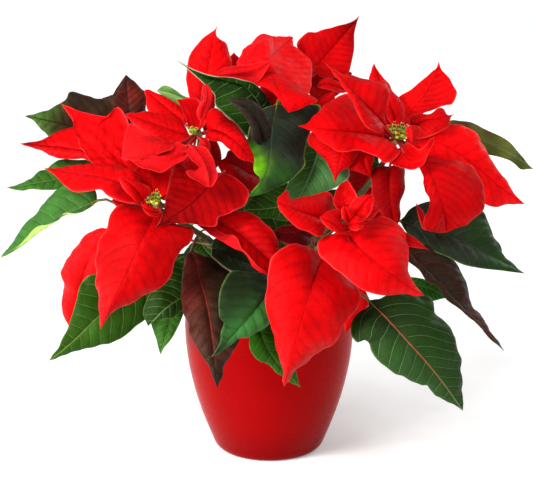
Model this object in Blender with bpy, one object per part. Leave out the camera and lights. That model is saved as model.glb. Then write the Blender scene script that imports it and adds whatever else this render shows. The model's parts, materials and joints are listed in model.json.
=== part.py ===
"""A poinsettia in a glazed pot, built in metres with +Z up. The origin is the
middle of the pot's flat underside, and -Y is the front."""
import math

import bmesh
import bpy
import numpy as np

for old in list(bpy.data.objects):
    bpy.data.objects.remove(old, do_unlink=True)

# ---------------------------------------------------------------- dimensions
POT_HEIGHT = 130.0        # mm, foot to rim
POT_WALL = 4.5            # mm
POT_FLOOR = 5.5           # mm
POT_FOOT = 40.0           # mm, radius of the flat underside
POT_HEEL = 45.0           # mm, radius where the side leaves the ground
POT_BELLY = 71.0          # mm, widest radius
POT_BELLY_AT = 105.0      # mm, height of the widest place
POT_SWELL = 1.8           # 1 is a straight cone; more opens fast and then runs upright
POT_DRAW_IN = 1.5         # mm, how far the side comes back in below the rim
SOIL_TOP = 115.0          # mm
SOIL_BOTTOM = 6.0         # mm
TRUNK_RADIUS = 5.0        # mm, at the soil
TRUNK_FOOT = 86.0         # mm, where the stem ends inside the soil
LEAF_THICKNESS = 0.75     # mm
STALK_RADIUS = 1.1        # mm
CLEARANCE = 0.35          # mm, between pieces that meet


def pot_radius(z):
    """Outside radius of the pot at a height, both in mm."""
    if z < POT_BELLY_AT:
        return POT_BELLY - (POT_BELLY - POT_HEEL) * ((POT_BELLY_AT - z) / POT_BELLY_AT) ** POT_SWELL
    return POT_BELLY - POT_DRAW_IN * ((z - POT_BELLY_AT) / (POT_HEIGHT - POT_BELLY_AT)) ** 2


POT_OUTER = [(pot_radius(z), z) for z in (3.0, 10.0, 30.0, 55.0, 80.0, 105.0, 122.0)]


# ---------------------------------------------------------------- the drawing
# Leaves and bracts are laid out on a front drawing, seen from 17 degrees above
# the horizon at 1.6 m: u runs right, v runs down, and d is how far in front of
# the stem (towards -Y) a point lies, in millimetres.
EL = math.radians(17.0)
DIST = 1.6
FOC = 1920.0
U0, V0 = 266.5, 239.5
AIM = (-0.0022, 0.0, 0.1812)
DEEP = 1.5
TILT = 0.5               # how far an edge below its midrib comes forward, mm per unit of v
EYE = np.array([AIM[0], -DIST * math.cos(EL), AIM[2] + DIST * math.sin(EL)])


def world(uvd):
    """Points of the drawing (u, v, d) in metres; d is drawn at 1 : DEEP."""
    uvd = np.asarray(uvd, float)
    fwd = np.array([0.0, math.cos(EL), -math.sin(EL)])
    up = np.array([0.0, math.sin(EL), math.cos(EL)])
    right = np.array([1.0, 0.0, 0.0])
    ray = (fwd + right * ((uvd[..., 0:1] - U0) / FOC)
           + up * ((V0 - uvd[..., 1:2]) / FOC))
    t = (-uvd[..., 2:3] * DEEP / 1000.0 - EYE[1]) / ray[..., 1:2]
    return EYE + t * ray


def spline(points, params, power=0.5):
    """Points on a smooth curve through the given ones, at 0..1 along it."""
    p = np.asarray(points, float)
    if len(p) == 2:
        return p[0] + (p[1] - p[0]) * np.asarray(params)[:, None]
    seg = np.linalg.norm(np.diff(p[:, :2] if p.shape[1] > 3 else p, axis=0), axis=1)
    seg = np.maximum(seg, 1e-9)
    arc = np.concatenate([[0], np.cumsum(seg)])
    arc /= arc[-1]
    knot = np.concatenate([[0], np.cumsum(seg ** power)])
    knot /= knot[-1]
    x = np.interp(np.clip(params, 0, 1), arc, knot)
    # tangents of the Catmull-Rom curve with uneven knots
    m = np.zeros_like(p)
    h = np.diff(knot)
    s = np.diff(p, axis=0) / h[:, None]
    m[1:-1] = (s[:-1] * h[1:, None] + s[1:] * h[:-1, None]) / (h[1:] + h[:-1])[:, None]
    m[0] = 1.5 * s[0] - 0.5 * m[1]
    m[-1] = 1.5 * s[-1] - 0.5 * m[-2]
    i = np.clip(np.searchsorted(knot, x, side="right") - 1, 0, len(h) - 1)
    f = ((x - knot[i]) / h[i])[:, None]
    hh = h[i][:, None]
    return ((2 * f**3 - 3 * f**2 + 1) * p[i] + (f**3 - 2 * f**2 + f) * hh * m[i]
            + (-2 * f**3 + 3 * f**2) * p[i + 1] + (f**3 - f**2) * hh * m[i + 1])


def unit(v):
    return v / np.maximum(np.linalg.norm(v, axis=-1, keepdims=True), 1e-12)


def rails(leaf, n):
    """Midrib and the two sides' rails, n+1 points each, in metres."""
    s = np.linspace(0, 1, n + 1)
    if leaf.get("wild"):
        return wild_rails(leaf, s)
    mid = spline(leaf["M"], s)
    sides = []
    for key, off in (("A", leaf["da"]), ("B", leaf["db"])):
        curves = []
        for j, rail in enumerate(leaf[key]):
            pts = [tuple(leaf["M"][0][:2]) + (0.0,)]
            for q in rail:
                pts.append((q[0], q[1], q[2] if len(q) > 2 else None))
            pts.append(tuple(leaf["M"][-1][:2]) + (0.0,))
            xy = np.array([q[:2] for q in pts], float)
            arc = np.concatenate([[0], np.cumsum(np.linalg.norm(np.diff(xy, axis=0), axis=1))])
            arc /= arc[-1]
            base_d = np.interp(arc, s, mid[:, 2])
            lean = leaf.get("tilt", TILT) * (xy[:, 1] - np.interp(arc, s, mid[:, 1]))
            o = off if j == 0 else off + leaf.get("over", 4.0)
            full = [(q[0], q[1], bd + ((o * math.sin(math.pi * a) ** 0.6 if 0 < a < 1 else 0.0) if q[2] is None else q[2]) + ln)
                    for q, bd, a, ln in zip(pts, base_d, arc, lean)]
            curves.append(world(spline(full, s)))
        sides.append(curves)
    mid = world(mid)
    return mid, sides[0], sides[1]


def wild_rails(leaf, s):
    """The same for a leaf given by direction, length and width."""
    w = leaf["wild"]
    n = len(s) - 1
    az = math.radians(w["az"])
    el = np.radians(w["el0"] + (w["el1"] - w["el0"]) * s ** w.get("bend", 1.0))
    turn = np.radians(w.get("turn", 0.0)) * s
    d = np.stack([np.cos(el) * np.cos(az + turn), np.cos(el) * np.sin(az + turn), np.sin(el)], -1)
    step = w["L"] / 1000.0 / n
    mid = np.array(w["p"]) / 1000.0 + np.concatenate([[np.zeros(3)], np.cumsum((d[1:] + d[:-1]) / 2 * step, axis=0)])
    flat = np.stack([-np.sin(az + turn), np.cos(az + turn), 0 * s], -1)
    nrm = unit(np.cross(d, flat))
    roll = np.radians(w.get("roll", 0.0)) + np.radians(w.get("twist", 0.0)) * s
    side = flat * np.cos(roll)[:, None] + nrm * np.sin(roll)[:, None]
    nrm = unit(np.cross(d, side))
    shape = (np.sin(np.pi * s ** 0.62) ** 0.85) * (1 - 0.25 * s)
    shape = shape / shape.max()
    lobe = w.get("lobe", 0.0)
    shape = shape * (1 + lobe * np.sin(s * math.pi * 5.0 + w.get("ph", 0.0)) * np.sin(np.pi * s))
    half = (w["W"] / 2000.0 * shape)[:, None]
    f = math.radians(w.get("fold", 12.0))
    wav = (w.get("wave", 2.0) / 1000.0 * np.sin(s * math.pi * 2 * w.get("nw", 2.0) + w.get("ph", 0.0)) * np.sin(np.pi * s))[:, None]
    wav2 = (w.get("wave", 2.0) / 1000.0 * np.sin(s * math.pi * 2 * w.get("nw", 2.0) + 1.7 + w.get("ph", 0.0)) * np.sin(np.pi * s))[:, None]
    a = mid + half * (math.cos(f) * side + math.sin(f) * nrm) + wav * nrm
    b = mid + half * (-math.cos(f) * side + math.sin(f) * nrm) + wav2 * nrm
    return mid, [a], [b]


def blade(leaf, n, m):
    """Middle surface of a blade: an (n+1, 2m+1, 3) grid from side A to side B,
    its unit normals on the upper face, and the across positions -1..1."""
    mid, A, B = rails(leaf, n)
    tan = unit(np.gradient(mid, axis=0))
    across = (B[0] - A[0])
    up = np.cross(across, tan)
    k = n // 2
    if not leaf.get("wild"):
        seen = float(np.dot(up[k], EYE - mid[k]))
        if (seen > 0) != (leaf.get("face", "top") == "top"):
            A, B = B, A
            up = -up
    elif up[k][2] < 0:
        A, B = B, A
        up = -up
    a = np.linspace(0, 1, m + 1)
    s = np.linspace(0, 1, n + 1)
    width = np.linalg.norm(A[0] - mid, axis=1) + np.linalg.norm(B[0] - mid, axis=1)
    share = (width / max(width.max(), 1e-9))[:, None, None]
    rows = []
    for rail in (A, B):
        if len(rail) == 1:
            e = rail[0]
            g = mid[:, None] + (e - mid)[:, None] * a[None, :, None]
        else:
            e, e2 = rail
            l1 = np.linalg.norm(e - mid, axis=1).mean()
            l2 = np.linalg.norm(e2 - e, axis=1).mean()
            tc = l1 / (l1 + l2)
            x = a[None, :, None]
            one = mid[:, None] + (e - mid)[:, None] * (x / tc)
            two = e[:, None] + (e2 - e)[:, None] * ((x - tc) / (1 - tc))
            g = np.where(x <= tc, one, two)
            # round the fold
            for _ in range(max(1, m // 8)):
                h = g.copy()
                h[:, 1:-1] = 0.25 * g[:, :-2] + 0.5 * g[:, 1:-1] + 0.25 * g[:, 2:]
                g = h
        rows.append(g)
    ga, gb = rows
    arch = leaf.get("arch", 2.0) / 1000.0
    sgn = 1.0
    for g, rail, side in ((ga, A, -1), (gb, B, 1)):
        e = rail[0]
        nrm = unit(np.cross((e - mid) * side, tan))
        g += (nrm[:, None] * (arch * 4 * (a * (1 - a))[None, :, None]) * share)
    grid = np.concatenate([ga[:, :0:-1], gb], axis=1)
    t = np.concatenate([-a[:0:-1], a])
    return grid, s, t


def grid_normals(g):
    du = np.gradient(g, axis=0)
    dv = np.gradient(g, axis=1)
    return unit(np.cross(dv, du))


LEAVES = []


def leaf(name, kind, M, A, B, da=-3.0, db=-3.0, arch=2.0, **more):
    """One blade: midrib M from base to tip, sides A and B as (u, v[, offset])
    points, and how far (mm) each side lies in front of the midrib."""
    A = A if isinstance(A[0], list) else [A]
    B = B if isinstance(B[0], list) else [B]
    LEAVES.append(dict(name=name, kind=kind, M=M, A=A, B=B, da=da, db=db, arch=arch, **more))


# heads: centre of each flower cluster on the drawing (u, v, d)
HEADS = {
    "a": (157, 203, 52), "b": (196, 133, 26), "d": (286, 76, -30),
    "e": (397, 137, 14), "f": (341, 222, 72),
}

# ---- head a: left front
leaf("bract_a1", "bract",
     [(158, 212, 56), (143, 237, 72), (127, 273, 82), (112, 304, 86), (101, 329, 84)],
     [(140, 207), (122, 205), (111, 212), (107, 228), (99, 239), (96, 258), (96, 278), (98, 300), (100, 318)],
     [(176, 222), (194, 231), (190, 243), (181, 251), (176, 259), (172, 273), (164, 284), (148, 293), (129, 304), (112, 311), (105, 320)],
     da=-7, db=-9, arch=4, head="a", low=12)
leaf("bract_a2", "bract",
     [(137, 195, 51), (126, 186, 53), (105, 178, 50), (80, 174, 44), (60, 171, 37), (44, 168, 31)],
     [(140, 175), (120, 166), (105, 164), (90, 164), (72, 165), (57, 169)],
     [(135, 204), (118, 201), (108, 196), (100, 189.5), (88, 191.5), (74, 192), (64, 185), (54, 175)],
     da=-5, db=3, arch=3, head="a", low=8, pet=[(150, 214, 50), (143, 206, 49)])
leaf("bract_a3", "bract",
     [(147, 188, 30), (126, 168, 30), (100, 150, 26), (80, 128, 18), (62, 104, 8)],
     [(125, 176), (106, 170), (94, 164.5), (87, 158), (81, 148), (78, 137), (75, 124), (69, 112)],
     [(146, 172), (136, 160), (124, 154), (124, 140), (129, 125), (118, 107), (108, 116), (97, 115), (80, 111), (69, 107)],
     da=2, db=0, arch=-2, head="a", wrinkle=1.0, low=9)
leaf("bract_a4", "bract",
     [(112, 166, 12), (88, 152, 6), (62, 147, 0), (40, 145, -4), (20.4, 143.6, -6)],
     [(100, 136), (80, 125), (68, 127.5), (58, 131), (48, 137.5), (39, 141.5), (30, 143)],
     [(104, 172), (88, 160), (76, 159), (62, 158.3), (54, 157), (46, 153.5), (37, 150), (28, 146.3)],
     da=-5, db=-3, arch=4, head="a", tip="dark", low=15)
leaf("bract_a5", "bract",
     [(124, 222, 36), (104, 238, 30), (88, 262, 23.5), (79, 292, 17), (70, 330, 11)],
     [(112, 228.5), (98, 229.5), (87, 234), (74, 249), (62, 268), (61, 276), (65, 287), (62, 302), (65, 318)],
     [(124, 242), (112, 262), (98, 280), (90, 300), (80, 320)],
     da=-8, db=-2, arch=4, tilt=0.2, head="a", low=19)
leaf("bract_a6", "bract",
     [(156, 200, 46), (153, 190, 41), (151, 178, 38), (152, 164, 35)],
     [(142, 192), (134, 179), (137, 167)],
     [(170, 192), (174, 178), (169, 166)],
     da=2, db=2, arch=-1.5, head="a")
leaf("bract_a7", "bract",
     [(142, 202, 58), (138, 193, 63), (130, 184, 65), (119.5, 177, 62)],
     [(150, 189), (141, 182), (130, 178.7)],
     [(136, 201), (125, 191), (121, 183)],
     da=-2, db=-2, arch=2, head="a")
leaf("bract_a8", "bract",
     [(222, 173, 34), (207, 188, 48), (192, 203, 58), (172, 217, 66), (155, 228, 69)],
     [(206, 170), (190, 170), (177, 163), (171, 175), (167, 192), (164, 208), (160, 221)],
     [(238, 180), (249, 192), (244, 206), (232, 212), (219, 217), (216, 226), (200, 225), (183, 223.5), (168, 224)],
     da=3, db=-4, arch=-2, at=(211, 184, 12), tone=0.62, tip="dark")
leaf("bract_g", "bract",
     [(203, 216, 38), (221, 224, 46), (241, 236, 53), (260, 252, 59), (277, 270, 62)],
     [(214, 211), (232, 210.5), (249, 212), (262, 221), (272, 231), (279, 248), (281, 262)],
     [[(197, 226), (207, 234.5), (219, 242.5), (232, 250), (244, 256), (251, 268), (262, 274), (270, 276)],
      [(212, 226), (224, 234), (236, 237), (242, 249), (250, 257), (258, 266), (268, 272)]],
     da=-3, db=4, arch=3, tilt=0.2, head="a", low=28, over=3.0, tone=0.5)
# ---- head b: left, higher
leaf("bract_b1", "bract",
     [(176, 143, 36), (160, 142, 42), (142, 146, 45), (121.5, 158, 44)],
     [(166, 140), (150, 134), (139, 127), (130, 123.5), (125, 135), (123, 148)],
     [(170, 150), (152, 155), (138, 160), (130, 160)],
     da=-3, db=0, arch=3, head="b", face="under")
leaf("bract_b1b", "bract",
     [(190, 150, 38), (172, 156, 46), (152, 157, 49), (131, 160.5, 47)],
     [(180, 143), (165, 142), (152, 143), (144.5, 146), (137, 154)],
     [(187, 158), (178, 163), (170, 168), (160, 171.5), (150, 169), (140, 167)],
     da=-2, db=-1, arch=3, head="b", face="under")
leaf("bract_b2", "bract",
     [(190, 136, 26), (168, 129, 24), (146, 121, 21), (126, 114, 19)],
     [(184, 124), (165, 116), (146, 111), (135, 113)],
     [(180, 143), (160, 141), (146, 133), (133, 124)],
     da=-2, db=-2, arch=2, head="b")
leaf("bract_b3", "bract",
     [(185, 124, 18), (174, 114, 13), (162, 104, 8), (145, 90, 2)],
     [(176, 132), (160, 126), (148, 112), (146, 100)],
     [(190, 118), (183, 110), (177, 104), (168, 99), (159, 95), (152, 91.5)],
     da=-2, db=-3, arch=3, tilt=0.4, head="b", low=3)
leaf("bract_b4", "bract",
     [(197, 131, 24), (193, 119, 22), (186, 107, 17), (177, 99.5, 12)],
     [(189, 127), (186, 116), (179, 104)],
     [(205, 125), (204, 112), (198, 99), (190, 98.5), (184, 99)],
     da=1, db=-2, arch=-1, head="b")
leaf("bract_b5", "bract",
     [(201, 121, 33), (202, 111, 34), (206, 99, 32), (206, 84, 26)],
     [(197, 115), (198, 107), (203, 99), (202, 90)],
     [(204, 120), (209, 109), (211.5, 97), (210, 89)],
     da=2, db=-3, arch=-2, head="b", face="under")
leaf("bract_b6", "bract",
     [(208, 131, 23), (220, 132, 28), (236, 142, 33), (254, 163, 34)],
     [(204, 117), (214, 108), (226, 116), (238, 127), (247, 140), (252, 152)],
     [(205, 138), (213, 141), (221, 141), (229, 149), (240, 158)],
     da=-3, db=-2, arch=3, head="b", low=8, pet=[(211, 140, 25)])
leaf("bract_b7", "bract",
     [(190, 146, 38), (201, 158, 50), (207, 172, 60), (209, 187, 63)],
     [(187, 151), (192, 161), (199, 168), (186, 171.5), (192, 178), (201, 184)],
     [(205, 147), (212, 156), (216, 167), (218, 176), (213, 185)],
     da=0, db=-3, arch=3, head="b", face="under")
leaf("bract_b8", "bract",
     [(200, 126, 14), (203, 100, 0), (208, 70, -10), (213, 44, -15), (217, 26.5, -16)],
     [(191, 112), (190, 95), (187, 78), (187, 66), (192, 54), (198, 44), (206, 37), (213, 31)],
     [(211, 114), (218, 100), (226, 84), (232, 66), (230.5, 52), (226, 42.5), (220, 40), (215, 33)],
     da=-3, db=-3, arch=3, head="b", low=12, pet=[(203, 139, 8)])
leaf("bract_b9", "bract",
     [(240, 84, -24), (236, 68, -27), (234, 52.5, -29)],
     [(229, 70), (229.5, 58)],
     [(247, 70), (240, 59)],
     da=-1, db=-1, arch=1, head="d")
leaf("bract_g2", "bract",
     [(266, 180, 2), (248, 172, 8), (232, 164, 12), (215.5, 160, 13)],
     [(262, 164), (248, 156), (236, 149), (228.5, 150), (223, 159)],
     [(257, 192), (243, 189), (232, 182), (222, 173)],
     da=-1, db=-1, arch=2, at=(279, 200, -16), tone=0.5)
# ---- head d: top
leaf("bract_d1", "bract",
     [(313, 70, -36), (325, 56, -42), (341, 38, -47), (359, 16.5, -50)],
     [(304, 58), (297, 45), (302, 37), (308, 33), (316, 33), (326, 29), (337, 26), (346, 23.8), (354, 20.5)],
     [(322, 77), (336, 78), (347, 75), (351, 65), (353, 52), (353.5, 38), (355.5, 27)],
     da=2, db=-1, arch=3, tilt=0.2, head="d", tip="dark")
leaf("bract_d2", "bract",
     [(246, 72, -12), (256, 65, -8), (266, 60, -6), (278, 50, -20), (286, 43, -29), (293, 37, -34)],
     [(236, 63), (240, 57), (250, 43), (262, 35.5), (275, 36), (285, 37)],
     [(250, 80), (258, 86), (268, 89), (276, 96), (289, 112), (302, 106), (309, 93), (312, 80), (313, 66), (308, 58), (299, 56), (292, 45)],
     da=-10, db=-2, arch=4, tilt=0.2, head="d", wrinkle=0.4)
leaf("bract_b10", "bract",
     [(210, 77, 2), (224, 75, 2), (238, 73.5, 3), (254, 70, 3), (270, 61.5, 1)],
     [(222, 69), (235, 65.5), (250, 64), (261, 61.5)],
     [(213, 80), (225, 81), (240, 82), (253, 83.5), (263, 76)],
     da=-1, db=0, arch=3, tilt=0.2, head="b", face="under", low=17, pet=[(206, 144, 4), (219, 121, 0), (227, 104, -1), (224, 88, 2)])
leaf("bract_d4", "bract",
     [(274, 80, -16), (273, 96, -13), (273, 109, -11), (273, 121, -10)],
     [(261, 86), (260, 96), (263, 109), (269, 117)],
     [(284, 92), (288, 103), (285, 113), (279, 118)],
     da=-2, db=-2, arch=2, head="d", tone=0.45)
leaf("bract_e13", "bract",
     [(348, 92, -24), (336, 87, -22), (326, 84, -22), (317, 87, -22)],
     [(342, 84), (330, 79), (321, 80)],
     [(340, 93), (330, 90), (322, 88.5)],
     da=0, db=0, arch=1, head="e")
leaf("bract_d6", "bract",
     [(298, 100, -22), (311, 104, -19), (323, 98, -17), (334, 91, -16)],
     [(305, 94), (316, 100), (325, 95.5)],
     [(303, 112), (318, 112), (334, 103)],
     da=-1, db=-1, arch=1, tilt=0.2, head="d")
leaf("bract_d7", "bract",
     [(306, 88, -40), (324, 84, -46), (338, 78, -50), (352, 73, -52)],
     [(309, 76), (320, 68), (336, 67)],
     [(318, 102), (333, 98), (345, 88)],
     da=0, db=0, arch=2, head="d", tone=0.5)
leaf("bract_d3", "bract",
     [(264, 67, -7), (270, 74, 0), (277, 87, 13), (284, 101, 19), (288.5, 112.5, 20)],
     [(261, 76), (253, 85), (262, 86.5), (274, 94), (283, 105)],
     [(272, 68), (287, 80), (303, 92), (318, 101), (306, 106), (295, 110)],
     da=-4, db=-5, arch=2, head="d")
# ---- head e: right
leaf("bract_e1", "bract",
     [(383, 140, 20), (368, 134, 25), (345, 131.5, 30), (320, 128.5, 32), (298.5, 126, 30)],
     [(382, 125), (374, 114), (358, 98), (344, 93), (335, 98), (324, 106.5), (313, 116), (308, 122.5), (304, 125)],
     [(400, 151), (392, 161), (384, 163), (377, 157), (367, 153), (358, 150), (346, 152), (338, 151.5), (328, 145), (317, 138), (311, 132.5), (305, 128.5)],
     da=-4, db=-5, arch=3, head="e", low=11)
leaf("bract_e2", "bract",
     [(384, 125, 31), (375, 114, 36), (362, 101, 37), (346, 84.5, 30), (335, 72.5, 22), (325, 63, 14)],
     [(381, 132.5), (369, 129), (362, 121), (355, 108), (350, 98), (343, 86), (336, 76)],
     [(387, 125), (385, 115), (388, 104), (389, 92), (385, 81), (376, 79.5), (368, 79), (356, 77), (344, 74.5), (333, 69)],
     da=1, db=-4, arch=3, head="e", low=4, pet=[(389, 134, 24)])
leaf("bract_e3", "bract",
     [(397, 127, 8), (391, 107, 0), (383, 88, -8), (374, 63.5, -15)],
     [(389, 120), (384, 105), (376, 90), (369, 79), (371.5, 71)],
     [(404, 118), (403, 107), (399, 98), (393, 92), (389, 83), (382, 77.5), (377, 71)],
     da=-1, db=-2, arch=2, head="e")
leaf("bract_e4", "bract",
     [(403, 125, 2), (413, 109, -9), (425, 95, -16), (434, 79, -21), (439, 62, -24)],
     [(397, 114), (398, 98), (410, 90), (422, 80.5), (432, 71.5), (437, 67)],
     [(410, 125), (418, 116), (428, 111), (438, 107.5), (446, 105.5), (452, 104), (456, 97), (457, 91), (454, 86.5), (450, 79), (445, 73.5), (441, 69)],
     da=2, db=-4, arch=-1, head="e", low=14)
leaf("bract_e5", "bract",
     [(411, 131, 9), (424, 121, 13), (440, 118, 15), (454.5, 114, 12)],
     [(410, 119), (418, 114.5), (430, 114), (439, 108.7), (444, 110), (447.5, 116)],
     [(412, 138), (425, 138), (438, 133), (447, 127), (450.5, 118.5)],
     da=-2, db=-2, arch=2, head="e")
leaf("bract_e6", "bract",
     [(411, 143, 15), (440, 144, 18), (474, 165, 20), (501, 188, 18), (525, 204, 12)],
     [(424, 133), (445, 126), (458, 124.5), (468, 127), (476, 133), (480, 141), (487, 150.5), (496, 167), (503, 177), (508, 184), (513, 193), (518, 199)],
     [(420, 156), (445, 172), (470, 190), (484, 203), (490, 206), (500, 206.5), (510, 204.6), (518, 204)],
     da=-6, db=-4, arch=4, tilt=0.2, head="e", low=6)
leaf("bract_e7", "bract",
     [(418, 155, 24), (430, 171, 38), (438, 192, 46), (444, 210, 49), (446, 232, 45)],
     [(418, 163), (423, 176), (424.5, 190), (430, 199.5), (429, 209), (424.5, 217), (425, 229), (435, 231.5)],
     [(438, 156), (452, 160), (464, 162), (474, 169), (482, 183), (486, 199), (481, 212), (470, 223), (458, 228.5)],
     da=-4, db=-8, arch=3, tilt=0.3, head="e", low=14)
leaf("bract_e7t", "bract",
     [(443, 223, 50), (430, 229, 41), (421, 216, 35), (416, 203, 32)],
     [(426, 222), (424, 213), (419.5, 207)],
     [(424, 230), (420, 222), (417.5, 212)],
     da=0, db=0, arch=0.5, head="e", tone=0.6)
leaf("bract_e8", "bract",
     [(402, 149, 28), (411, 160, 37), (424, 153, 41), (434.5, 137, 39)],
     [(395, 157), (391, 163), (403, 169), (413, 169.5), (422, 165), (428, 156), (432.5, 146)],
     [(408, 142), (417, 150), (425, 146), (430, 140)],
     da=-3, db=2, arch=-2, head="e")
leaf("bract_e8b", "bract",
     [(411, 148, 24), (412, 139, 30), (412, 131, 32), (410, 125, 32)],
     [(407, 139), (406.5, 128)],
     [(415, 141), (421, 129)],
     da=0, db=0, arch=1, head="e", face="under")
leaf("bract_e9", "bract",
     [(346, 140, 16), (341, 154, 22), (337.5, 168, 25), (335, 183, 26)],
     [(325, 133), (312, 134), (308, 140), (310, 147), (318, 153), (326, 162), (332, 173)],
     [(358, 150), (354, 160), (345, 169), (340, 172), (336.6, 178)],
     da=-3, db=-2, arch=2, head="e")
leaf("bract_e10", "bract",
     [(372, 150, 14), (364, 157, 18), (366, 168, 20), (371, 178, 19)],
     [(352, 154), (348, 168), (357, 171.5), (365, 174)],
     [(374, 157), (371, 166), (371, 173)],
     da=-2, db=-2, arch=2, head="e")
leaf("bract_e11", "bract",
     [(390, 167, 15), (389, 182, 22), (391, 204, 29), (395, 228, 32)],
     [(374, 168), (371, 188), (372, 208), (382, 224)],
     [(404, 166), (404, 184), (401, 202), (399, 220)],
     da=-2, db=-2, arch=3, head="e", tone=0.5, low=20)
leaf("bract_e12", "bract",
     [(378, 157, -7), (366, 178, -9), (358, 198, -11), (352, 216, -13)],
     [(352, 166), (347, 186), (346, 204)],
     [(380, 176), (374, 198), (364, 212)],
     da=-2, db=-2, arch=2, at=(384, 163, 10), tone=0.35)
# ---- head f: right front, low
leaf("bract_f1", "bract",
     [(323, 256, 62), (315, 277, 78), (307, 302, 89), (299, 330, 94), (291, 358, 93), (284, 386.5, 89)],
     [(314, 250), (305, 246), (297, 243.5), (288, 245), (279, 250.5), (271, 259), (269, 270), (266, 286), (267, 306), (270, 322), (275, 344), (281, 363), (283.3, 378)],
     [(334, 263), (348, 276), (359, 290), (359, 304), (350, 319), (341, 329), (338, 338), (330, 346), (316, 355), (302, 366), (293, 372), (288, 379)],
     da=-8, db=-10, arch=4, tilt=0.1, head="f", low=13)
leaf("bract_f2", "bract",
     [(344, 232, 75), (364, 252, 90), (386, 270, 98), (406, 285, 97), (424, 295.5, 92)],
     [(352, 229), (362, 223), (374, 219), (384, 216.5), (393, 221), (400, 226), (406, 236), (409, 248), (409, 262), (410, 275), (413, 284), (418, 290)],
     [(334, 233), (325, 236), (318.5, 241), (317, 247), (319.5, 256), (326, 262), (334, 268.5), (344, 276), (352, 283), (361, 289), (372, 293), (384, 294.7), (396, 293.5), (405, 293), (414, 294.7)],
     da=-6, db=-8, arch=4, head="f", low=8)
leaf("bract_f3", "bract",
     [(328, 221, 70), (311, 215, 78), (296, 210, 82), (284, 205, 83), (277, 202, 82)],
     [(333, 206), (332, 193), (320, 193.5), (310, 195), (300, 197.8), (290, 198), (286.5, 190.5), (280, 196)],
     [(324, 232), (319, 237), (308, 232), (300, 229.5), (292, 224), (285, 216), (279, 209)],
     da=-4, db=-4, arch=4, head="f")
leaf("bract_f4a", "bract",
     [(352, 228, 80), (343, 231, 87), (333, 224, 89), (320, 217, 86)],
     [(349, 234), (339, 233), (329, 228), (322, 222)],
     [(345, 224), (338, 222), (341, 211), (334, 209), (326, 213)],
     da=-1, db=-1, arch=2, head="f")
leaf("bract_f4b", "bract",
     [(352, 219, 77), (361, 208, 82), (367, 200, 82), (374, 194.5, 80)],
     [(350, 206), (356, 197), (365, 194.5)],
     [(361, 221), (370, 214), (373.5, 203)],
     da=0, db=-1, arch=1.5, head="f", wrinkle=0.8)
leaf("bract_f4c", "bract",
     [(347, 211, 74), (345, 204, 75), (343, 193, 73), (348, 180, 69)],
     [(337, 209), (334, 198), (338, 186)],
     [(356, 208), (357, 196), (352, 187)],
     da=1, db=1, arch=-1, head="f", wrinkle=1.0)
leaf("bract_f4d", "bract",
     [(349, 223, 84), (347, 214, 88), (344, 206, 88)],
     [(343, 219), (341.5, 210)],
     [(354, 216), (350, 208)],
     da=0, db=0, arch=1, head="f", wrinkle=0.6)
leaf("bract_f4e", "bract",
     [(349, 227, 84), (356, 223, 90), (364, 226, 90)],
     [(352, 219), (359, 217)],
     [(354, 231), (360, 229)],
     da=0, db=0, arch=1, head="f", wrinkle=0.6)
leaf("bract_f5", "bract",
     [(390, 232, 64), (404, 239, 72), (417, 244, 74), (428.5, 249.5, 73)],
     [(400, 229), (410, 235), (420, 242.5)],
     [(398, 245), (408, 246.5), (418, 248)],
     da=-1, db=-1, arch=1, head="f")
leaf("bract_f7", "bract",
     [(350, 276, 38), (361, 295, 40), (356, 314, 43), (346, 333, 45)],
     [(343, 284), (345, 303), (344, 320)],
     [(366, 290), (369, 306), (358, 318)],
     da=-2, db=-2, arch=2, at=(318, 249, 45))
leaf("bract_f8", "bract",
     [(312, 238, 42), (300, 234, 47), (288, 233, 47), (274, 231, 45)],
     [(304, 226), (288, 225), (279, 227)],
     [(308, 246), (292, 246), (281, 242)],
     da=0, db=0, arch=1, at=(316, 250, 44), tone=0.35)
# ---- short bracts further in, which close the heads behind the large ones
leaf("bract_a9", "bract",
     [(160, 213, 64), (154, 212.5, 69), (147, 210, 71), (141.5, 205.5, 69)],
     [(156, 208), (149, 205), (144, 203)],
     [(158, 216.5), (151, 216.5), (144, 211.5)],
     da=-1, db=-1, arch=1, head="a")
leaf("bract_a10", "bract",
     [(152, 207, 40), (139, 206, 38), (126, 203, 34), (112, 200, 29)],
     [(148, 198), (136, 194), (122, 194)],
     [(146, 215), (133, 215), (119, 210)],
     da=-1, db=-1, arch=2, head="a", tone=0.45)
leaf("bract_a11", "bract",
     [(169, 202, 47), (172, 196, 43), (176, 187, 37), (180, 175, 29)],
     [(160, 198), (164, 187), (170, 176)],
     [(170, 209), (179, 200), (182, 187)],
     da=-1, db=-1, arch=2, head="a", tone=0.45)
leaf("bract_b11", "bract",
     [(190, 146, 22), (184, 158, 24), (178, 170, 22), (170, 184, 18)],
     [(180, 148), (171, 157), (166, 169), (165, 179)],
     [(203, 158), (203, 171), (190, 183)],
     da=-1, db=-1, arch=2, head="b", tone=0.6)
leaf("bract_b12", "bract",
     [(210, 137, 16), (212.5, 148, 15), (214, 158, 11), (216, 168, 4)],
     [(214, 138), (219, 146), (221.5, 158)],
     [(206, 149), (207, 158), (210, 168)],
     da=-1, db=-1, arch=2, head="b", tone=0.35)
leaf("bract_b14", "bract",
     [(204, 132, 19), (209, 127, 18), (215, 123, 16), (222, 119, 13)],
     [(203, 125), (209, 117), (216, 113)],
     [(210, 138), (217, 135), (222, 128)],
     da=-1, db=-1, arch=1, head="b", tone=0.7)
leaf("bract_b16", "bract",
     [(200, 139, 34), (204, 142.5, 36), (207, 147, 36), (209.5, 151.5, 33)],
     [(205, 137.5), (210, 142.5)],
     [(200.5, 145), (204.5, 150.5)],
     da=-1, db=-1, arch=1, head="b", face="under")
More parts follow.
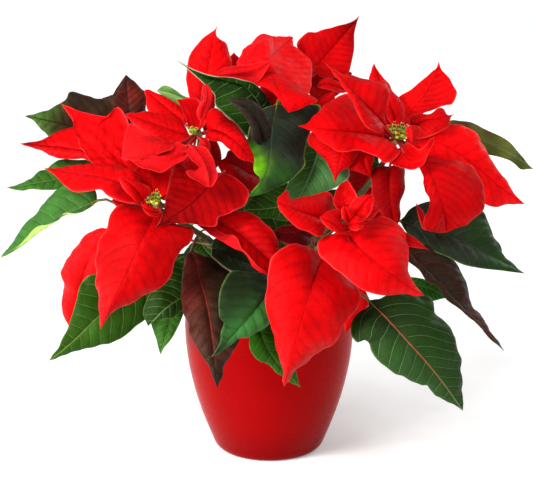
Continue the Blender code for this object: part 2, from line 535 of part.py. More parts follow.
leaf("bract_e14", "bract",
     [(391, 137, 12), (386, 127, 6), (380, 114, -4), (374, 100, -12)],
     [(382, 134), (376, 122), (370, 109)],
     [(398, 127), (394, 112), (386, 101)],
     da=-1, db=-1, arch=2, head="e", tone=0.5)
leaf("bract_e15", "bract",
     [(404, 138, 7), (411, 131, 5), (419, 124, 2), (429, 119, -1)],
     [(405, 133), (411, 125), (420, 119)],
     [(411, 142), (421, 136), (429, 127)],
     da=-1, db=-1, arch=2, head="e", tone=0.5)
leaf("bract_e16", "bract",
     [(403, 144, 4), (412, 150, 4), (421, 157, 3), (431, 164, 0)],
     [(410, 138), (420, 145), (428, 154)],
     [(396, 152), (405, 162), (421, 168)],
     da=-1, db=-1, arch=2, head="e", tone=0.6)
leaf("bract_f9", "bract",
     [(351, 222, 60), (361, 221, 58), (371, 217, 55), (382, 211, 51)],
     [(352, 213), (363, 208), (374, 205)],
     [(359, 231), (370, 229), (380, 220)],
     da=-1, db=-1, arch=2, head="f", tone=0.6)
leaf("leaf_33", "leaf",
     [(379, 164, 3), (371, 160, -1), (361, 156, -5), (348, 152, -10)],
     [(375, 151), (362, 147.5), (354, 148)],
     [(374, 169), (365, 166), (354, 159)],
     da=-1, db=-1, arch=2, at=(381, 171, 8))
# ---- leaves, left
leaf("leaf_01", "brown",
     [(120, 134, -30), (96, 129, -25), (72, 126, -20), (50, 121, -16), (25.3, 116, -13)],
     [(116, 112), (106, 99), (95, 99), (85, 95), (76, 91.5), (69, 92), (66, 99), (59, 105), (50, 109.7), (38, 113.5)],
     [(104, 148), (80, 150), (62, 147), (49, 137.5), (43, 131), (37, 124), (31, 119)],
     da=-4, db=-4, arch=3, tilt=0.2, at=(196, 176, -4), tipc="green")
leaf("leaf_02", "brown",
     [(131, 136, -38), (129, 114, -43), (127, 94, -47), (126, 75, -50)],
     [(112, 124), (101, 112), (101, 98), (107, 96), (112, 95.5), (116, 89), (121, 82)],
     [(148, 126), (146, 111), (148, 94), (142, 88), (134, 81)],
     da=-2, db=-3, arch=3, at=(206, 180, -18))
leaf("leaf_03", "leaf",
     [(98, 178, -6), (62, 179, -2), (35, 183.5, 1), (7, 187.5, 3)],
     [(88, 160), (74, 159), (62, 160), (55, 163), (48, 168), (40, 170.5), (35, 176), (28, 180.5), (18, 185)],
     [(86, 191), (66, 187), (55, 189.5), (42, 190), (30, 188.7), (22, 190.5), (13, 189.5)],
     da=-3, db=2, arch=2, at=(196, 232, 33))
leaf("leaf_04", "leaf",
     [(97, 200.5, 26), (79, 208.5, 28), (58, 218, 26), (32, 236, 20), (12, 250.5, 14), (0.6, 257.5, 12)],
     [(96.5, 195), (94, 189), (80, 183), (65, 184), (56, 189), (50, 196), (45, 203), (38, 213), (28, 221), (18, 233.5), (9, 246)],
     [[(92, 208), (82, 214.5), (74, 217), (68, 216.5), (52, 226.5), (36, 237.5), (22, 248), (10, 254.7)],
      [(88, 207), (76, 213), (64, 213), (58, 220), (50, 224), (36, 227), (26, 238), (12, 251.5)]],
     da=-4, db=3, arch=2, over=2.5, at=(216, 245, 24), pet=[(190, 240, 18), (160, 228, 19), (121, 206, 27)])
leaf("leaf_05", "leaf",
     [(150, 283, 14), (122, 299, 27), (99, 316, 35), (72, 342, 38), (49, 360.5, 34)],
     [(132, 266), (112, 268), (97, 274), (88, 276), (81, 283), (78.5, 290), (77, 300), (72, 315), (68.5, 326), (64, 337), (57, 349)],
     [(158, 302), (146, 318), (136, 327), (125, 335.5), (111, 342.5), (102, 344), (90, 348), (75, 351), (62, 356.5)],
     da=2, db=-4, arch=3, tilt=0.15, at=(240, 262, 11), pet=[(205, 277, 11)])
leaf("leaf_06", "leaf",
     [(176, 296, 12), (171, 318, 20), (166, 336, 25), (160.7, 354.5, 26)],
     [(158, 308), (151, 322), (153, 332), (156.5, 342), (159, 350)],
     [(184, 308), (180, 322), (175, 333), (170, 341), (164, 348)],
     da=-2, db=2, arch=2, at=(252, 272, 5), pet=[(214, 288, 0)])
leaf("leaf_07", "leaf",
     [(202, 282, 16), (182, 297, 29), (165, 309, 36), (148.5, 326, 38)],
     [(195, 262), (180, 257), (167, 268), (155, 283), (147, 299), (143, 313), (145, 321)],
     [(198, 296), (182, 312), (170, 318), (158, 320.5), (152, 322)],
     da=-3, db=-2, arch=2, tilt=0.2, at=(224, 254, 2))
leaf("leaf_08", "brown",
     [(191, 251, 32), (200, 280, 54), (208, 310, 72), (213, 345, 86), (217, 387.5, 92)],
     [(187, 255), (183.5, 263), (181.5, 277), (181.5, 300), (184, 314), (188, 324), (190, 335), (198, 349), (206, 362), (211.5, 374)],
     [(205, 255), (217, 261), (229, 271), (239, 288), (242.5, 318), (239.5, 338), (235, 348), (228.5, 359), (223.5, 370), (220.5, 380)],
     da=-4, db=-4, arch=3, at=(200, 234, 31))
leaf("leaf_09", "leaf",
     [(278, 278, 52), (264, 298, 70), (247, 319, 86), (229, 339, 92), (211, 357.5, 93)],
     [(262, 274), (246, 271.5), (232, 271), (224.5, 280), (220, 291), (218.5, 305), (220, 318), (224, 322), (221, 332), (220, 341), (216, 350.5)],
     [(281, 298), (276, 317), (269, 326), (260, 330.5), (250, 335), (240, 337.5), (232, 343), (221, 350.5)],
     da=3, db=-4, arch=3, tilt=0.25, at=(286, 273, 16))
leaf("leaf_10", "leaf",
     [(256, 318, 66), (262, 336, 77), (270, 352, 78), (281, 367, 77), (300, 387, 72)],
     [(248, 328), (250, 338), (249, 347), (255, 357), (267, 363.5), (276, 372.5), (288, 380)],
     [(273, 324), (286, 342), (294, 360), (297, 374)],
     da=-2, db=-2, arch=2, at=(262, 262, 18), pet=[(252, 288, 40), (253, 304, 54)])
leaf("leaf_11", "leaf",
     [(212, 248, 36), (229, 255, 41), (246, 263, 42), (260, 269.5, 35), (272, 276, 28)],
     [(216, 238), (236, 243), (254, 252), (265, 263)],
     [(211, 256), (219, 263.5), (230, 271), (243, 276), (257, 278)],
     da=-2, db=4, arch=2, at=(224, 252, 20))
leaf("leaf_12", "leaf",
     [(199, 238, 4), (204, 248, 8), (211, 256, 13), (219, 261.5, 14)],
     [(192, 247), (197, 253), (206, 258)],
     [(207, 242), (213, 250), (217, 257)],
     da=0, db=0, arch=1, at=(212, 226, 2))
# ---- leaves, right
leaf("leaf_13", "leaf",
     [(368, 300, 62), (386, 318, 72), (406, 340, 77), (426, 362, 76), (446, 387, 71), (462.5, 410.5, 64)],
     [(368, 307), (361, 311.5), (354, 319), (350.7, 329), (352, 336), (357, 342), (364, 341), (369, 343), (372, 351), (377, 359), (386, 367), (394, 373.5), (402, 377), (411, 380), (420, 383), (427, 385), (431, 391), (435, 396), (445, 401), (455, 405.5)],
     [(377, 299), (390, 295), (405, 293), (420, 294), (430, 298), (434.5, 304), (435.5, 313), (442, 320), (449, 326), (454, 335), (457.5, 345), (460, 359), (461.5, 375), (462.5, 391), (463.5, 403)],
     da=-4, db=-5, arch=4, at=(298, 264, 29), pet=[(326, 273, 40), (350, 286, 56)])
leaf("leaf_14", "leaf",
     [(400, 221, 22), (430, 231, 27), (461, 241, 31), (491, 256.5, 33), (525, 273.5, 29)],
     [(412, 208), (432, 202), (458, 203), (481, 211), (487, 221), (492, 232), (493.5, 238), (499, 247), (505.5, 256.5), (512, 264), (518, 269)],
     [(408, 234), (428, 248), (444, 256), (455, 261), (465, 265.5), (472, 267), (487, 269), (505, 271), (517, 272.5)],
     da=-4, db=3, arch=3, at=(322, 233, 3), pet=[(350, 221, 16), (378, 215, 21)])
leaf("leaf_15", "brown",
     [(404, 246, 38), (420, 265, 48), (438, 284, 54), (456, 302, 57), (476, 322, 56), (504, 350.5, 50)],
     [(424, 245), (440, 251), (453, 260), (460, 268), (465.5, 279), (468, 288), (469.5, 298), (473, 307), (481, 313), (485.5, 320), (490, 332), (497, 341.5)],
     [(407, 260), (419, 270), (427, 282), (434, 285), (439, 288), (446, 299), (455, 306), (465, 313.5), (474, 321), (484, 331.5), (494, 342)],
     da=-5, db=4, arch=3, at=(308, 248, 2), pet=[(352, 246, 18)])
leaf("leaf_16", "leaf",
     [(403, 284, 20), (418, 286, 24), (433, 290, 26), (448, 298, 26)],
     [(410, 276.5), (421, 278), (431, 283), (440, 288)],
     [(410, 295), (423, 300), (433, 301), (442, 299)],
     da=-1, db=-1, arch=2, at=(320, 254, 4), pet=[(364, 272, 14)])
leaf("leaf_17", "brown",
     [(436, 133, -14), (465, 136, -8), (492, 145, -2), (514, 156.5, 2), (533, 169, 3)],
     [(450, 121), (460, 120.8), (471, 122), (485, 129), (500, 136), (511, 143.5), (521, 155), (527.5, 163)],
     [(452, 148), (470, 153), (488, 154.5), (500, 157), (511, 162), (521, 169.5), (528, 168.9)],
     da=-2, db=-2, arch=2, face="under", at=(366, 188, 6), pet=[(404, 158, -14)], tipc="olive")
# ---- leaves, centre
leaf("leaf_18", "leaf",
     [(267, 124, 1), (258, 102, 5), (242, 85, 7), (220, 77.5, 7), (199, 72, 6), (177.5, 61, 3)],
     [(272, 112, -4), (266, 96, -3), (254, 83.5, 1), (238, 79, 4), (222, 76.5, 5), (202, 72.5, 5.5)],
     [(260, 140), (248, 138), (236, 125), (224, 114), (215.5, 106), (214.5, 95), (206, 86), (196, 76.5), (186, 68)],
     da=-12, db=6, arch=3, tilt=0.1, at=(284, 160, -14))
leaf("leaf_19", "leaf",
     [(277, 104, 9), (273, 124, 18), (271, 148, 24), (268, 168, 29), (260, 186, 34), (246.5, 197.5, 36)],
     [(262, 110), (252, 122), (247.5, 136), (246, 148), (253, 159), (254, 170), (259.5, 180), (254, 189)],
     [(292, 105), (308, 103), (320, 106), (318, 120), (309, 134), (306, 150), (304, 166), (296, 175), (282, 185), (262, 193.5)],
     da=2, db=-8, arch=2, at=(288, 150, -12))
leaf("leaf_20", "brown",
     [(263, 145, 20), (259, 126, 31), (252, 113, 34), (241, 104.5, 34), (227.5, 99.5, 31)],
     [(272, 132), (267.5, 118), (260, 106.5), (251, 100), (240, 97.3)],
     [(253, 140), (250, 128), (244.5, 117), (235, 107.5)],
     da=-3, db=-1, arch=3, at=(282, 176, -6))
leaf("leaf_21", "leaf",
     [(322, 134, -2), (316, 158, 8), (308, 180, 15), (296, 203, 19)],
     [(306, 135), (298, 158), (289, 180), (285, 195)],
     [(338, 142), (347, 162), (348.5, 177), (340, 185.5), (322, 193.5), (308, 200)],
     da=-4, db=-2, arch=3, at=(300, 168, -10), face="top")
leaf("leaf_22", "leaf",
     [(306, 197, 8), (286, 205, 14), (266, 209, 17), (244, 210, 17)],
     [(289, 184), (272, 187), (253, 197)],
     [(302, 216), (285, 221), (270, 218), (255, 217)],
     da=-2, db=-2, arch=2, at=(296, 232, -4))
leaf("leaf_23", "leaf",
     [(206, 108, -16), (187, 101, -20), (171, 94, -23), (157, 91, -25)],
     [(199, 100), (184, 96), (174, 89), (164, 85.5)],
     [(196, 112), (180, 106), (168, 100)],
     da=-1, db=-1, arch=1, face="under", at=(236, 150, -20))
leaf("leaf_31", "leaf",
     [(282, 254, -4), (278, 232, 2), (268, 208, 4), (252, 186, 0)],
     [(298, 240), (296, 216), (278, 192)],
     [(262, 244), (250, 222), (244, 202)],
     da=-2, db=-2, arch=2, at=(274, 264, -3))
leaf("leaf_32", "leaf",
     [(306, 246, -10), (318, 226, -6), (332, 208, -5), (346, 190, -8)],
     [(300, 226), (308, 204), (328, 190)],
     [(322, 242), (338, 226), (348, 208)],
     da=-2, db=-2, arch=2, at=(292, 252, 0))


# ---- stems: from the soil up through the fork to each head (u, v, d), radii mm
STEMS = {
    "a": [(269, 280, 0), (243, 264, 10), (206, 238, 28), (172, 217, 46), (160, 208, 50)],
    "b": [(268, 281, -1), (237, 236, 2), (212, 188, 10), (200, 152, 20), (197, 139, 24)],
    "d": [(270, 279, -3), (280, 206, -16), (287, 130, -30), (287, 84, -32)],
    "e": [(270, 281, 0), (312, 242, 2), (362, 192, 6), (389, 154, 11), (395, 144, 12.5)],
    "f": [(270, 281, 2), (295, 266, 26), (325, 243, 54), (338, 230, 67)],
}
STEM_R = (3.0, 2.1)
# direction in which each flower cluster faces
FACE = {
    "a": (-0.25, -0.55, 0.80), "b": (-0.35, -0.75, 0.55), "d": (0.05, 0.05, 1.0),
    "e": (0.15, -0.45, 0.88), "f": (-0.35, -0.45, 0.82),
}


def head_point(h, up=0.0):
    """A point on a head's axis, `up` mm above the middle of its flower cluster."""
    return world([HEADS[h]])[0] + unit(np.array(FACE[h])) * up / 1000.0


def stem_line(h, n=40):
    pts = world(np.array(STEMS[h], float))
    end = head_point(h, -9.0)
    pts = np.vstack([pts[:-1], end])
    return spline(pts, np.linspace(0, 1, n + 1))


def stem_radius(h, f):
    return (STEM_R[0] + (STEM_R[1] - STEM_R[0]) * f) / 1000.0


def attach(lf, base):
    """Where a leaf's stalk meets its stem: the point and the stem's radius."""
    if "at" in lf:
        hint = world([lf["at"]])[0]
        best = None
        for h in STEMS:
            line = stem_line(h)
            for i in range(2, len(line) - 4):
                gap = np.linalg.norm(line[i] - hint)
                if best is None or gap < best[0]:
                    best = (gap, line[i], stem_radius(h, i / 40), line[i + 1] - line[i])
        return best[1], best[2], unit(best[3])
    h = lf["head"]
    line = stem_line(h, 200)
    arc = np.concatenate([[0], np.cumsum(np.linalg.norm(np.diff(line, axis=0), axis=1))])
    i = int(np.argmin(np.abs(arc - (arc[-1] - lf.get("low", 5.0) / 1000.0))))
    i = min(max(i, 1), 199)
    return line[i], stem_radius(h, i / 200), unit(line[i + 1] - line[i - 1])


def stalk(lf, base, lead, n, joined=False, gap=0.0010):
    """Points of a leaf's stalk, n+1 of them, from its stem to the blade's base.
    A joined stalk begins inside the stem or the short axis under the cluster."""
    if joined and "head" in lf:
        start = head_point(lf["head"], -3.0)
        near = unit(base - start)
        if np.linalg.norm(base - start) < 0.009:
            base_line = np.array([start, base])
        else:
            base_line = np.array([start, start + near * 0.004, base - lead * 0.003, base])
        return spline(base_line, np.linspace(0, 1, n + 1))
    foot, r, axis = attach(lf, base)
    out = [np.array(q) / 1000.0 if lf.get("wild") else world([q])[0] for q in lf.get("pet", [])]
    toward = (out[0] if out else base) - foot
    toward = unit(toward - axis * np.dot(toward, axis))
    start = foot if joined else foot + toward * (r + gap)
    pts = [start, foot + toward * (r + gap + 0.002)] + out
    if np.linalg.norm(base - pts[-1]) > 0.012:
        pts.append(base - lead * 0.004)
    pts.append(base)
    return spline(np.array(pts), np.linspace(0, 1, n + 1))


# ---- leaves and bracts on the sides away from the drawing, set by direction
def wild(name, kind, p, az, L, W, el0, el1, **more):
    w = dict(p=p, az=az, L=L, W=W, el0=el0, el1=el1)
    keys = ("bend", "turn", "roll", "twist", "lobe", "ph", "fold", "wave", "nw")
    w.update({k: more.pop(k) for k in keys if k in more})
    LEAVES.append(dict(name=name, kind=kind, wild=w, M=None, A=None, B=None, da=0, db=0,
                       arch=more.pop("arch", 3.0), **more))


def from_head(h, az, out, drop=0.0):
    """A point `out` mm from a head's centre in a direction, in mm."""
    c = head_point(h, -6.0) * 1000
    a = math.radians(az)
    return (c[0] + out * math.cos(a), c[1] + out * math.sin(a), c[2] - drop)


for h, az, L, W, el0, el1, low, more in (
    ("d", 70, 84, 38, 14, -34, 3, dict(ph=0.9)),
    ("d", 108, 88, 46, 24, -38, 1, dict(ph=1.4)),
    ("d", 145, 82, 44, 14, -36, 3, dict(ph=2.8)),
    ("e", 142, 66, 40, 8, -36, -1, dict(ph=1.1)),
    ("f", 60, 54, 32, 10, -24, 0, dict(ph=0.8)),
    ("b", 148, 62, 36, 6, -42, 9, dict(ph=1.9)),
):
    wild("bract_%s_back_%d" % (h, az), "bract", from_head(h, az, 8.0, low), az, L, W, el0, el1,
         head=h, fold=14.0, lobe=0.10, wave=2.0, **more)

for k, (az, r, z, L, W, el0, el1, hint, more) in enumerate((
    (58, 34, 196, 104, 60, 12, -52, (300, 200, -16), dict(ph=0.3)),
    (92, 32, 182, 118, 66, 8, -62, (272, 222, -12), dict(ph=1.2)),
    (128, 34, 190, 104, 60, 10, -56, (240, 214, 0), dict(ph=2.1)),
    (160, 34, 166, 84, 50, 0, -58, (232, 240, 4), dict(ph=0.7)),
    (24, 34, 158, 88, 52, 2, -58, (306, 240, -2), dict(ph=1.7)),
    (96, 30, 236, 92, 56, 16, -44, (280, 164, -22), dict(ph=2.6)),
    (74, 34, 156, 92, 54, 2, -60, (290, 244, -8), dict(ph=0.9)),
)):
    a = math.radians(az)
    wild("leaf_%02d" % (24 + k), "leaf", (r * math.cos(a), r * math.sin(a) + 4, z), az, L, W, el0, el1,
         at=hint, fold=12.0, lobe=0.12, wave=3.0, **more)

# small bracts that share one short axis under each flower cluster
GROUPED = {lf["name"] for lf in LEAVES if "_back_" in lf["name"]} | {
    "bract_a6", "bract_a7", "bract_b1", "bract_b1b", "bract_b2", "bract_b4", "bract_b5",
    "bract_b7", "bract_b9", "bract_d4", "bract_d6", "bract_d7",
    "bract_e3", "bract_e5", "bract_e8", "bract_e8b", "bract_e9", "bract_e10",
    "bract_a9", "bract_a10", "bract_a11", "bract_b11", "bract_b12", "bract_b14", "bract_b16",
    "bract_e14", "bract_e15", "bract_e16", "bract_f9",
    "bract_e13", "bract_f4a", "bract_f4b", "bract_f4c", "bract_f4d", "bract_f4e", "bract_f5"}
# small leaves that stay part of the stem they grow from
ON_STEM = {"leaf_12", "leaf_16", "leaf_22", "leaf_23", "leaf_31", "leaf_32", "bract_e12",
           "bract_g2", "bract_f7", "bract_f8", "leaf_33"}
# folded lobes that belong to another blade
PART_OF = {"bract_e7t": "bract_e7", "leaf_20": "leaf_19", "bract_d3": "bract_d2"}


# ---- solids
def strip_rings(lf, n, m, thick, stalk_n, stalk_r, joined=False):
    """Rings of points along a leaf: its stalk, then its blade, each ring a closed
    loop of 2*(2m+1) points round the cross-section."""
    s = 0.5 - 0.5 * np.cos(np.pi * (0.06 + (0.985 - 0.06) * np.linspace(0, 1, n + 1)))
    s = 0.35 * s + 0.65 * np.linspace(0.035, 0.985, n + 1)
    dense = 80
    mid, A, B = rails(lf, dense)
    x = np.linspace(0, 1, dense + 1)

    def pick(c):
        return np.stack([np.interp(s, x, c[:, k]) for k in range(3)], -1)

    tan = unit(np.gradient(mid, axis=0))
    mid, tan, A, B = pick(mid), unit(pick(tan)), pick(A[0]), pick(B[0])
    up = np.cross(B - A, tan)
    k = n // 2
    if lf.get("wild"):
        flip = up[k][2] < 0
    else:
        flip = (float(np.dot(up[k], EYE - mid[k])) > 0) != (lf.get("face", "top") == "top")
    if flip:
        A, B = B, A
    # keep a least width at the tip and the base
    least = 0.0009
    for e in (A, B):
        off = e - mid
        w = np.linalg.norm(off, axis=1, keepdims=True)
        off = unit(off)
        mean = unit(e[k] - mid[k])
        off = np.where(w < 0.0004, mean, off)
        e[:] = mid + off * np.maximum(w, least)
    a = np.linspace(0, 1, m + 1)
    arch = lf.get("arch", 2.0) / 1000.0
    width = np.linalg.norm(A - mid, axis=1) + np.linalg.norm(B - mid, axis=1)
    share = (width / width.max())[:, None, None]
    halves, nrms = [], []
    for e, side in ((A, -1), (B, 1)):
        nrm = unit(np.cross((e - mid) * side, tan))
        g = mid[:, None] + (e - mid)[:, None] * a[None, :, None]
        g = g + nrm[:, None] * (arch * 4 * (a * (1 - a))[None, :, None]) * share
        halves.append(g)
        nrms.append(nrm)
    grid = np.concatenate([halves[0][:, :0:-1], halves[1]], axis=1)
    both = unit(nrms[0] + nrms[1])
    nn = np.concatenate([np.repeat(nrms[0][:, None], m, 1), both[:, None],
                         np.repeat(nrms[1][:, None], m, 1)], axis=1)
    half = thick / 2
    top, bot = grid + nn * half, grid - nn * half
    rings = [np.concatenate([top[i], bot[i][::-1]]) for i in range(n + 1)]
    if not stalk_n:
        return rings
    line = stalk(lf, mid[0], tan[0], stalk_n, joined)
    run = unit(np.gradient(line, axis=0))
    wide = unit(B[0] - A[0])
    cols = 2 * m + 1
    pre = []
    for i in range(stalk_n):
        f = i / stalk_n
        w = wide - run[i] * np.dot(wide, run[i])
        w = unit(w)
        u = unit(np.cross(w, run[i]))
        r = stalk_r
        ring = []
        for q in range(cols):
            c = -1 + 2 * q / (cols - 1)
            ring.append(line[i] + w * r * c + u * r * 0.9 * (math.sqrt(max(0.0, 1 - c * c)) * 0.75 + 0.25))
        for q in range(cols - 1, -1, -1):
            c = -1 + 2 * q / (cols - 1)
            ring.append(line[i] + w * r * c - u * r * 0.9 * (math.sqrt(max(0.0, 1 - c * c)) * 0.75 + 0.25))
        pre.append(np.array(ring))
    return pre + rings


def rings_mesh(name, rings):
    """A closed mesh through rings of the same number of points."""
    k = len(rings[0])
    cols = k // 2
    verts = np.concatenate(rings)
    faces = []
    for i in range(len(rings) - 1):
        for j in range(k):
            a, b = i * k + j, i * k + (j + 1) % k
            faces.append((a, b, b + k, a + k))
    last = (len(rings) - 1) * k
    for j in range(cols - 1):
        faces.append((j + 1, j, k - 1 - j, k - 2 - j))
        faces.append((last + j, last + j + 1, last + k - 2 - j, last + k - 1 - j))
    mesh = bpy.data.meshes.new(name)
    mesh.from_pydata([tuple(v) for v in verts], [], faces)
    mesh.validate()
    obj = bpy.data.objects.new(name, mesh)
    bpy.context.scene.collection.objects.link(obj)
    bm = bmesh.new()
    bm.from_mesh(mesh)
    bmesh.ops.triangulate(bm, faces=bm.faces)
    if bm.calc_volume(signed=True) < 0:
        bmesh.ops.reverse_faces(bm, faces=bm.faces)
    bm.to_mesh(mesh)
    bm.free()
    for p in mesh.polygons:
        p.use_smooth = False
    return obj


def tube_rings(line, radii, sides=8):
    run = unit(np.gradient(line, axis=0))
    ref = np.array([1.0, 0.0, 0.0])
    rings = []
    w = unit(ref - run[0] * np.dot(ref, run[0]))
    for p, t, r in zip(line, run, radii):
        w = unit(w - t * np.dot(w, t))
        u = np.cross(t, w)
        ang = np.linspace(0, 2 * math.pi, sides, endpoint=False)
        rings.append(p + r * (np.cos(ang)[:, None] * w + np.sin(ang)[:, None] * u))
    return rings


def fuse(base, others):
    """One body from several that overlap."""
    for o in others:
        mod = base.modifiers.new("fuse", "BOOLEAN")
        mod.operation = "UNION"
        mod.solver = "EXACT"
        mod.object = o
        with bpy.context.temp_override(object=base, active_object=base, selected_objects=[base]):
            bpy.context.view_layer.objects.active = base
            bpy.ops.object.modifier_apply(modifier=mod.name)
        bpy.data.objects.remove(o, do_unlink=True)
    return base


def lathe(name, profile, sides):
    """A solid of revolution about Z from a closed (r, z) profile in mm, going
    round from the axis to the axis."""
    verts, rows = [], []
    for r, z in profile:
        if r < 1e-6:
            rows.append([len(verts)])
            verts.append((0.0, 0.0, z / 1000.0))
        else:
            row = []
            for i in range(sides):
                a = 2 * math.pi * i / sides
                row.append(len(verts))
                verts.append((r / 1000.0 * math.cos(a), r / 1000.0 * math.sin(a), z / 1000.0))
            rows.append(row)
    faces = []
    for p, q in zip(rows[:-1], rows[1:]):
        for i in range(sides):
            j = (i + 1) % sides
            if len(p) == 1:
                faces.append((p[0], q[j], q[i]))
            elif len(q) == 1:
                faces.append((p[i], p[j], q[0]))
            else:
                faces.append((p[i], p[j], q[j], q[i]))
    mesh = bpy.data.meshes.new(name)
    mesh.from_pydata(verts, [], faces)
    obj = bpy.data.objects.new(name, mesh)
    bpy.context.scene.collection.objects.link(obj)
    bm = bmesh.new()
    bm.from_mesh(mesh)
    bmesh.ops.recalc_face_normals(bm, faces=bm.faces)
    bmesh.ops.triangulate(bm, faces=bm.faces)
    if bm.calc_volume(signed=True) < 0:
        bmesh.ops.reverse_faces(bm, faces=bm.faces)
    bm.to_mesh(mesh)
    bm.free()
    for p in mesh.polygons:
        p.use_smooth = True
    return obj


# ---------------------------------------------------------------- materials
COLORS = {
    "pot": (0.60, 0.010, 0.012, 0.18), "soil": (0.035, 0.022, 0.014, 0.95),
    "stems": (0.10, 0.055, 0.022, 0.60), "bract": (0.62, 0.008, 0.010, 0.50),
    "leaf": (0.045, 0.150, 0.035, 0.45), "brown": (0.085, 0.035, 0.028, 0.50),
    "cyathia": (0.30, 0.32, 0.030, 0.45),
}


def finish(obj, slot, smooth=True):
    r, g, b, rough = COLORS[slot]
    mat = bpy.data.materials.new(obj.name + "_material")
    mat.use_nodes = True
    node = next(n for n in mat.node_tree.nodes if n.type == "BSDF_PRINCIPLED")
    node.inputs["Base Color"].default_value = (r, g, b, 1.0)
    node.inputs["Roughness"].default_value = rough
    mat.diffuse_color = (r, g, b, 1.0)
    obj.data.materials.clear()
    obj.data.materials.append(mat)
    for p in obj.data.polygons:
        p.use_smooth = smooth
    return obj


# ---------------------------------------------------------------- pot and soil
def inner_radius(z):
    rs = [r for r, _ in POT_OUTER]
    zs = [h for _, h in POT_OUTER]
    return float(np.interp(z, zs, rs)) - POT_WALL


pot_profile = [(0.0, 0.0), (POT_FOOT, 0.0)] + POT_OUTER
pot_profile += [(69.6, POT_HEIGHT - 1.2), (68.6, POT_HEIGHT), (66.4, POT_HEIGHT), (65.4, POT_HEIGHT - 1.4)]
pot_profile += [(inner_radius(z), z) for z in (118.0, 80.0, 55.0, 30.0, 12.0)]
pot_profile += [(inner_radius(12.0) - 4.0, POT_FLOOR + 1.0), (inner_radius(12.0) - 7.0, POT_FLOOR), (0.0, POT_FLOOR)]
finish(lathe("pot", pot_profile, 36), "pot")

bore = TRUNK_RADIUS + CLEARANCE
soil_profile = [(0.0, TRUNK_FOOT - CLEARANCE), (bore, TRUNK_FOOT - CLEARANCE), (bore, SOIL_TOP + 1.0),
                (14.0, SOIL_TOP + 1.5), (34.0, SOIL_TOP), (52.0, SOIL_TOP - 1.5)]
soil_profile += [(inner_radius(z) - CLEARANCE - 0.5, z) for z in (SOIL_TOP - 3.0, 80.0, 55.0, 30.0, 13.0)]
soil_profile += [(inner_radius(12.0) - 9.0, SOIL_BOTTOM), (0.0, SOIL_BOTTOM)]
finish(lathe("soil", soil_profile, 28), "soil")

# ---------------------------------------------------------------- stems
STALK = STALK_RADIUS / 1000.0
THICK = LEAF_THICKNESS / 1000.0
BY_NAME = {lf["name"]: lf for lf in LEAVES}


def tube(name, line, radii, sides):
    return rings_mesh(name, tube_rings(line, radii, sides))


foot = np.array([0.0, 0.0, TRUNK_FOOT / 1000.0])
soil_line = np.array([0.0, 0.0, SOIL_TOP / 1000.0 + 0.006])
fork = world([(269.5, 279, 0)])[0]
trunk_line = spline(np.array([foot, foot + (soil_line - foot) * 0.5, soil_line, fork]), np.linspace(0, 1, 9))
trunk_line[:5, :2] = 0.0
trunk = tube("stems", trunk_line, np.linspace(TRUNK_RADIUS - 0.2, 4.4, 9) / 1000.0, 10)
branches = []
for h in STEMS:
    line = stem_line(h, 11)
    branches.append(tube("branch_" + h, line, [stem_radius(h, i / 11) for i in range(12)], 8))
for name in sorted(ON_STEM):
    branches.append(rings_mesh(name, strip_rings(BY_NAME[name], 6, 1, THICK, 3, STALK, True)))
finish(fuse(trunk, branches), "stems")


# ---------------------------------------------------------------- flower heads
def ball(name, centre, radii, axis, rows=5, sides=8):
    """An ellipsoid about an axis."""
    axis = unit(np.array(axis, float))
    side = unit(np.cross(axis, np.array([1.0, 0.2, 0.0])))
    other = np.cross(axis, side)
    rings = []
    for i in range(rows + 1):
        a = math.pi * (0.08 + 0.84 * i / rows)
        r = radii[0] * math.sin(a)
        c = centre - axis * radii[1] * math.cos(a)
        ang = np.linspace(0, 2 * math.pi, sides, endpoint=False)
        rings.append(c + r * (np.cos(ang)[:, None] * side + np.sin(ang)[:, None] * other))
    return rings_mesh(name, rings)


HEAD_KIT = {"a": (6, 3.6), "b": (4, 2.1), "d": (5, 3.6), "e": (12, 5.8), "f": (3, 1.2)}
for h in sorted(HEADS):
    knob = ball("rosette_" + h, head_point(h, -3.0), (0.0042, 0.0040), FACE[h])
    parts = [rings_mesh(lf["name"], strip_rings(lf, 5, 1, THICK, 2, STALK, True))
             for lf in LEAVES if lf["name"] in GROUPED and lf["head"] == h]
    finish(fuse(knob, parts), "bract")

    count, spread = HEAD_KIT[h]
    axis = unit(np.array(FACE[h], float))
    side = unit(np.cross(axis, np.array([1.0, 0.2, 0.0])))
    other = np.cross(axis, side)
    seat = ball("cyathia_" + h, head_point(h, 3.6), (spread / 1000.0 * 0.75 + 0.0012, 0.0019), FACE[h], 3, 10)
    urns = []
    for k in range(count):
        rad = spread / 1000.0 * math.sqrt((k + 0.4) / count)
        ang = 2.39996 * k
        out = side * math.cos(ang) + other * math.sin(ang)
        lean = unit(axis + out * 0.5 * rad / (spread / 1000.0))
        urns.append(ball("urn", head_point(h, 3.8) + out * rad * 0.85 + lean * 0.0028, (0.0018, 0.0034), lean, 3, 6))
    finish(fuse(seat, urns), "cyathia")

# ---------------------------------------------------------------- leaves
for lf in LEAVES:
    name = lf["name"]
    if name in GROUPED or name in ON_STEM or name in PART_OF:
        continue
    body = rings_mesh(name, strip_rings(lf, 7, 2, THICK, 2, STALK))
    lobes = [rings_mesh(k, strip_rings(BY_NAME[k], 5, 1, THICK, 0, STALK))
             for k in sorted(PART_OF) if PART_OF[k] == name]
    if lobes:
        body = fuse(body, lobes)
    finish(body, lf["kind"])
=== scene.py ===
"""The looks of a potted red poinsettia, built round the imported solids: skins of
leaves and bracts with their veins, the glazed pot, soil, bark and flowers."""
import json
import math

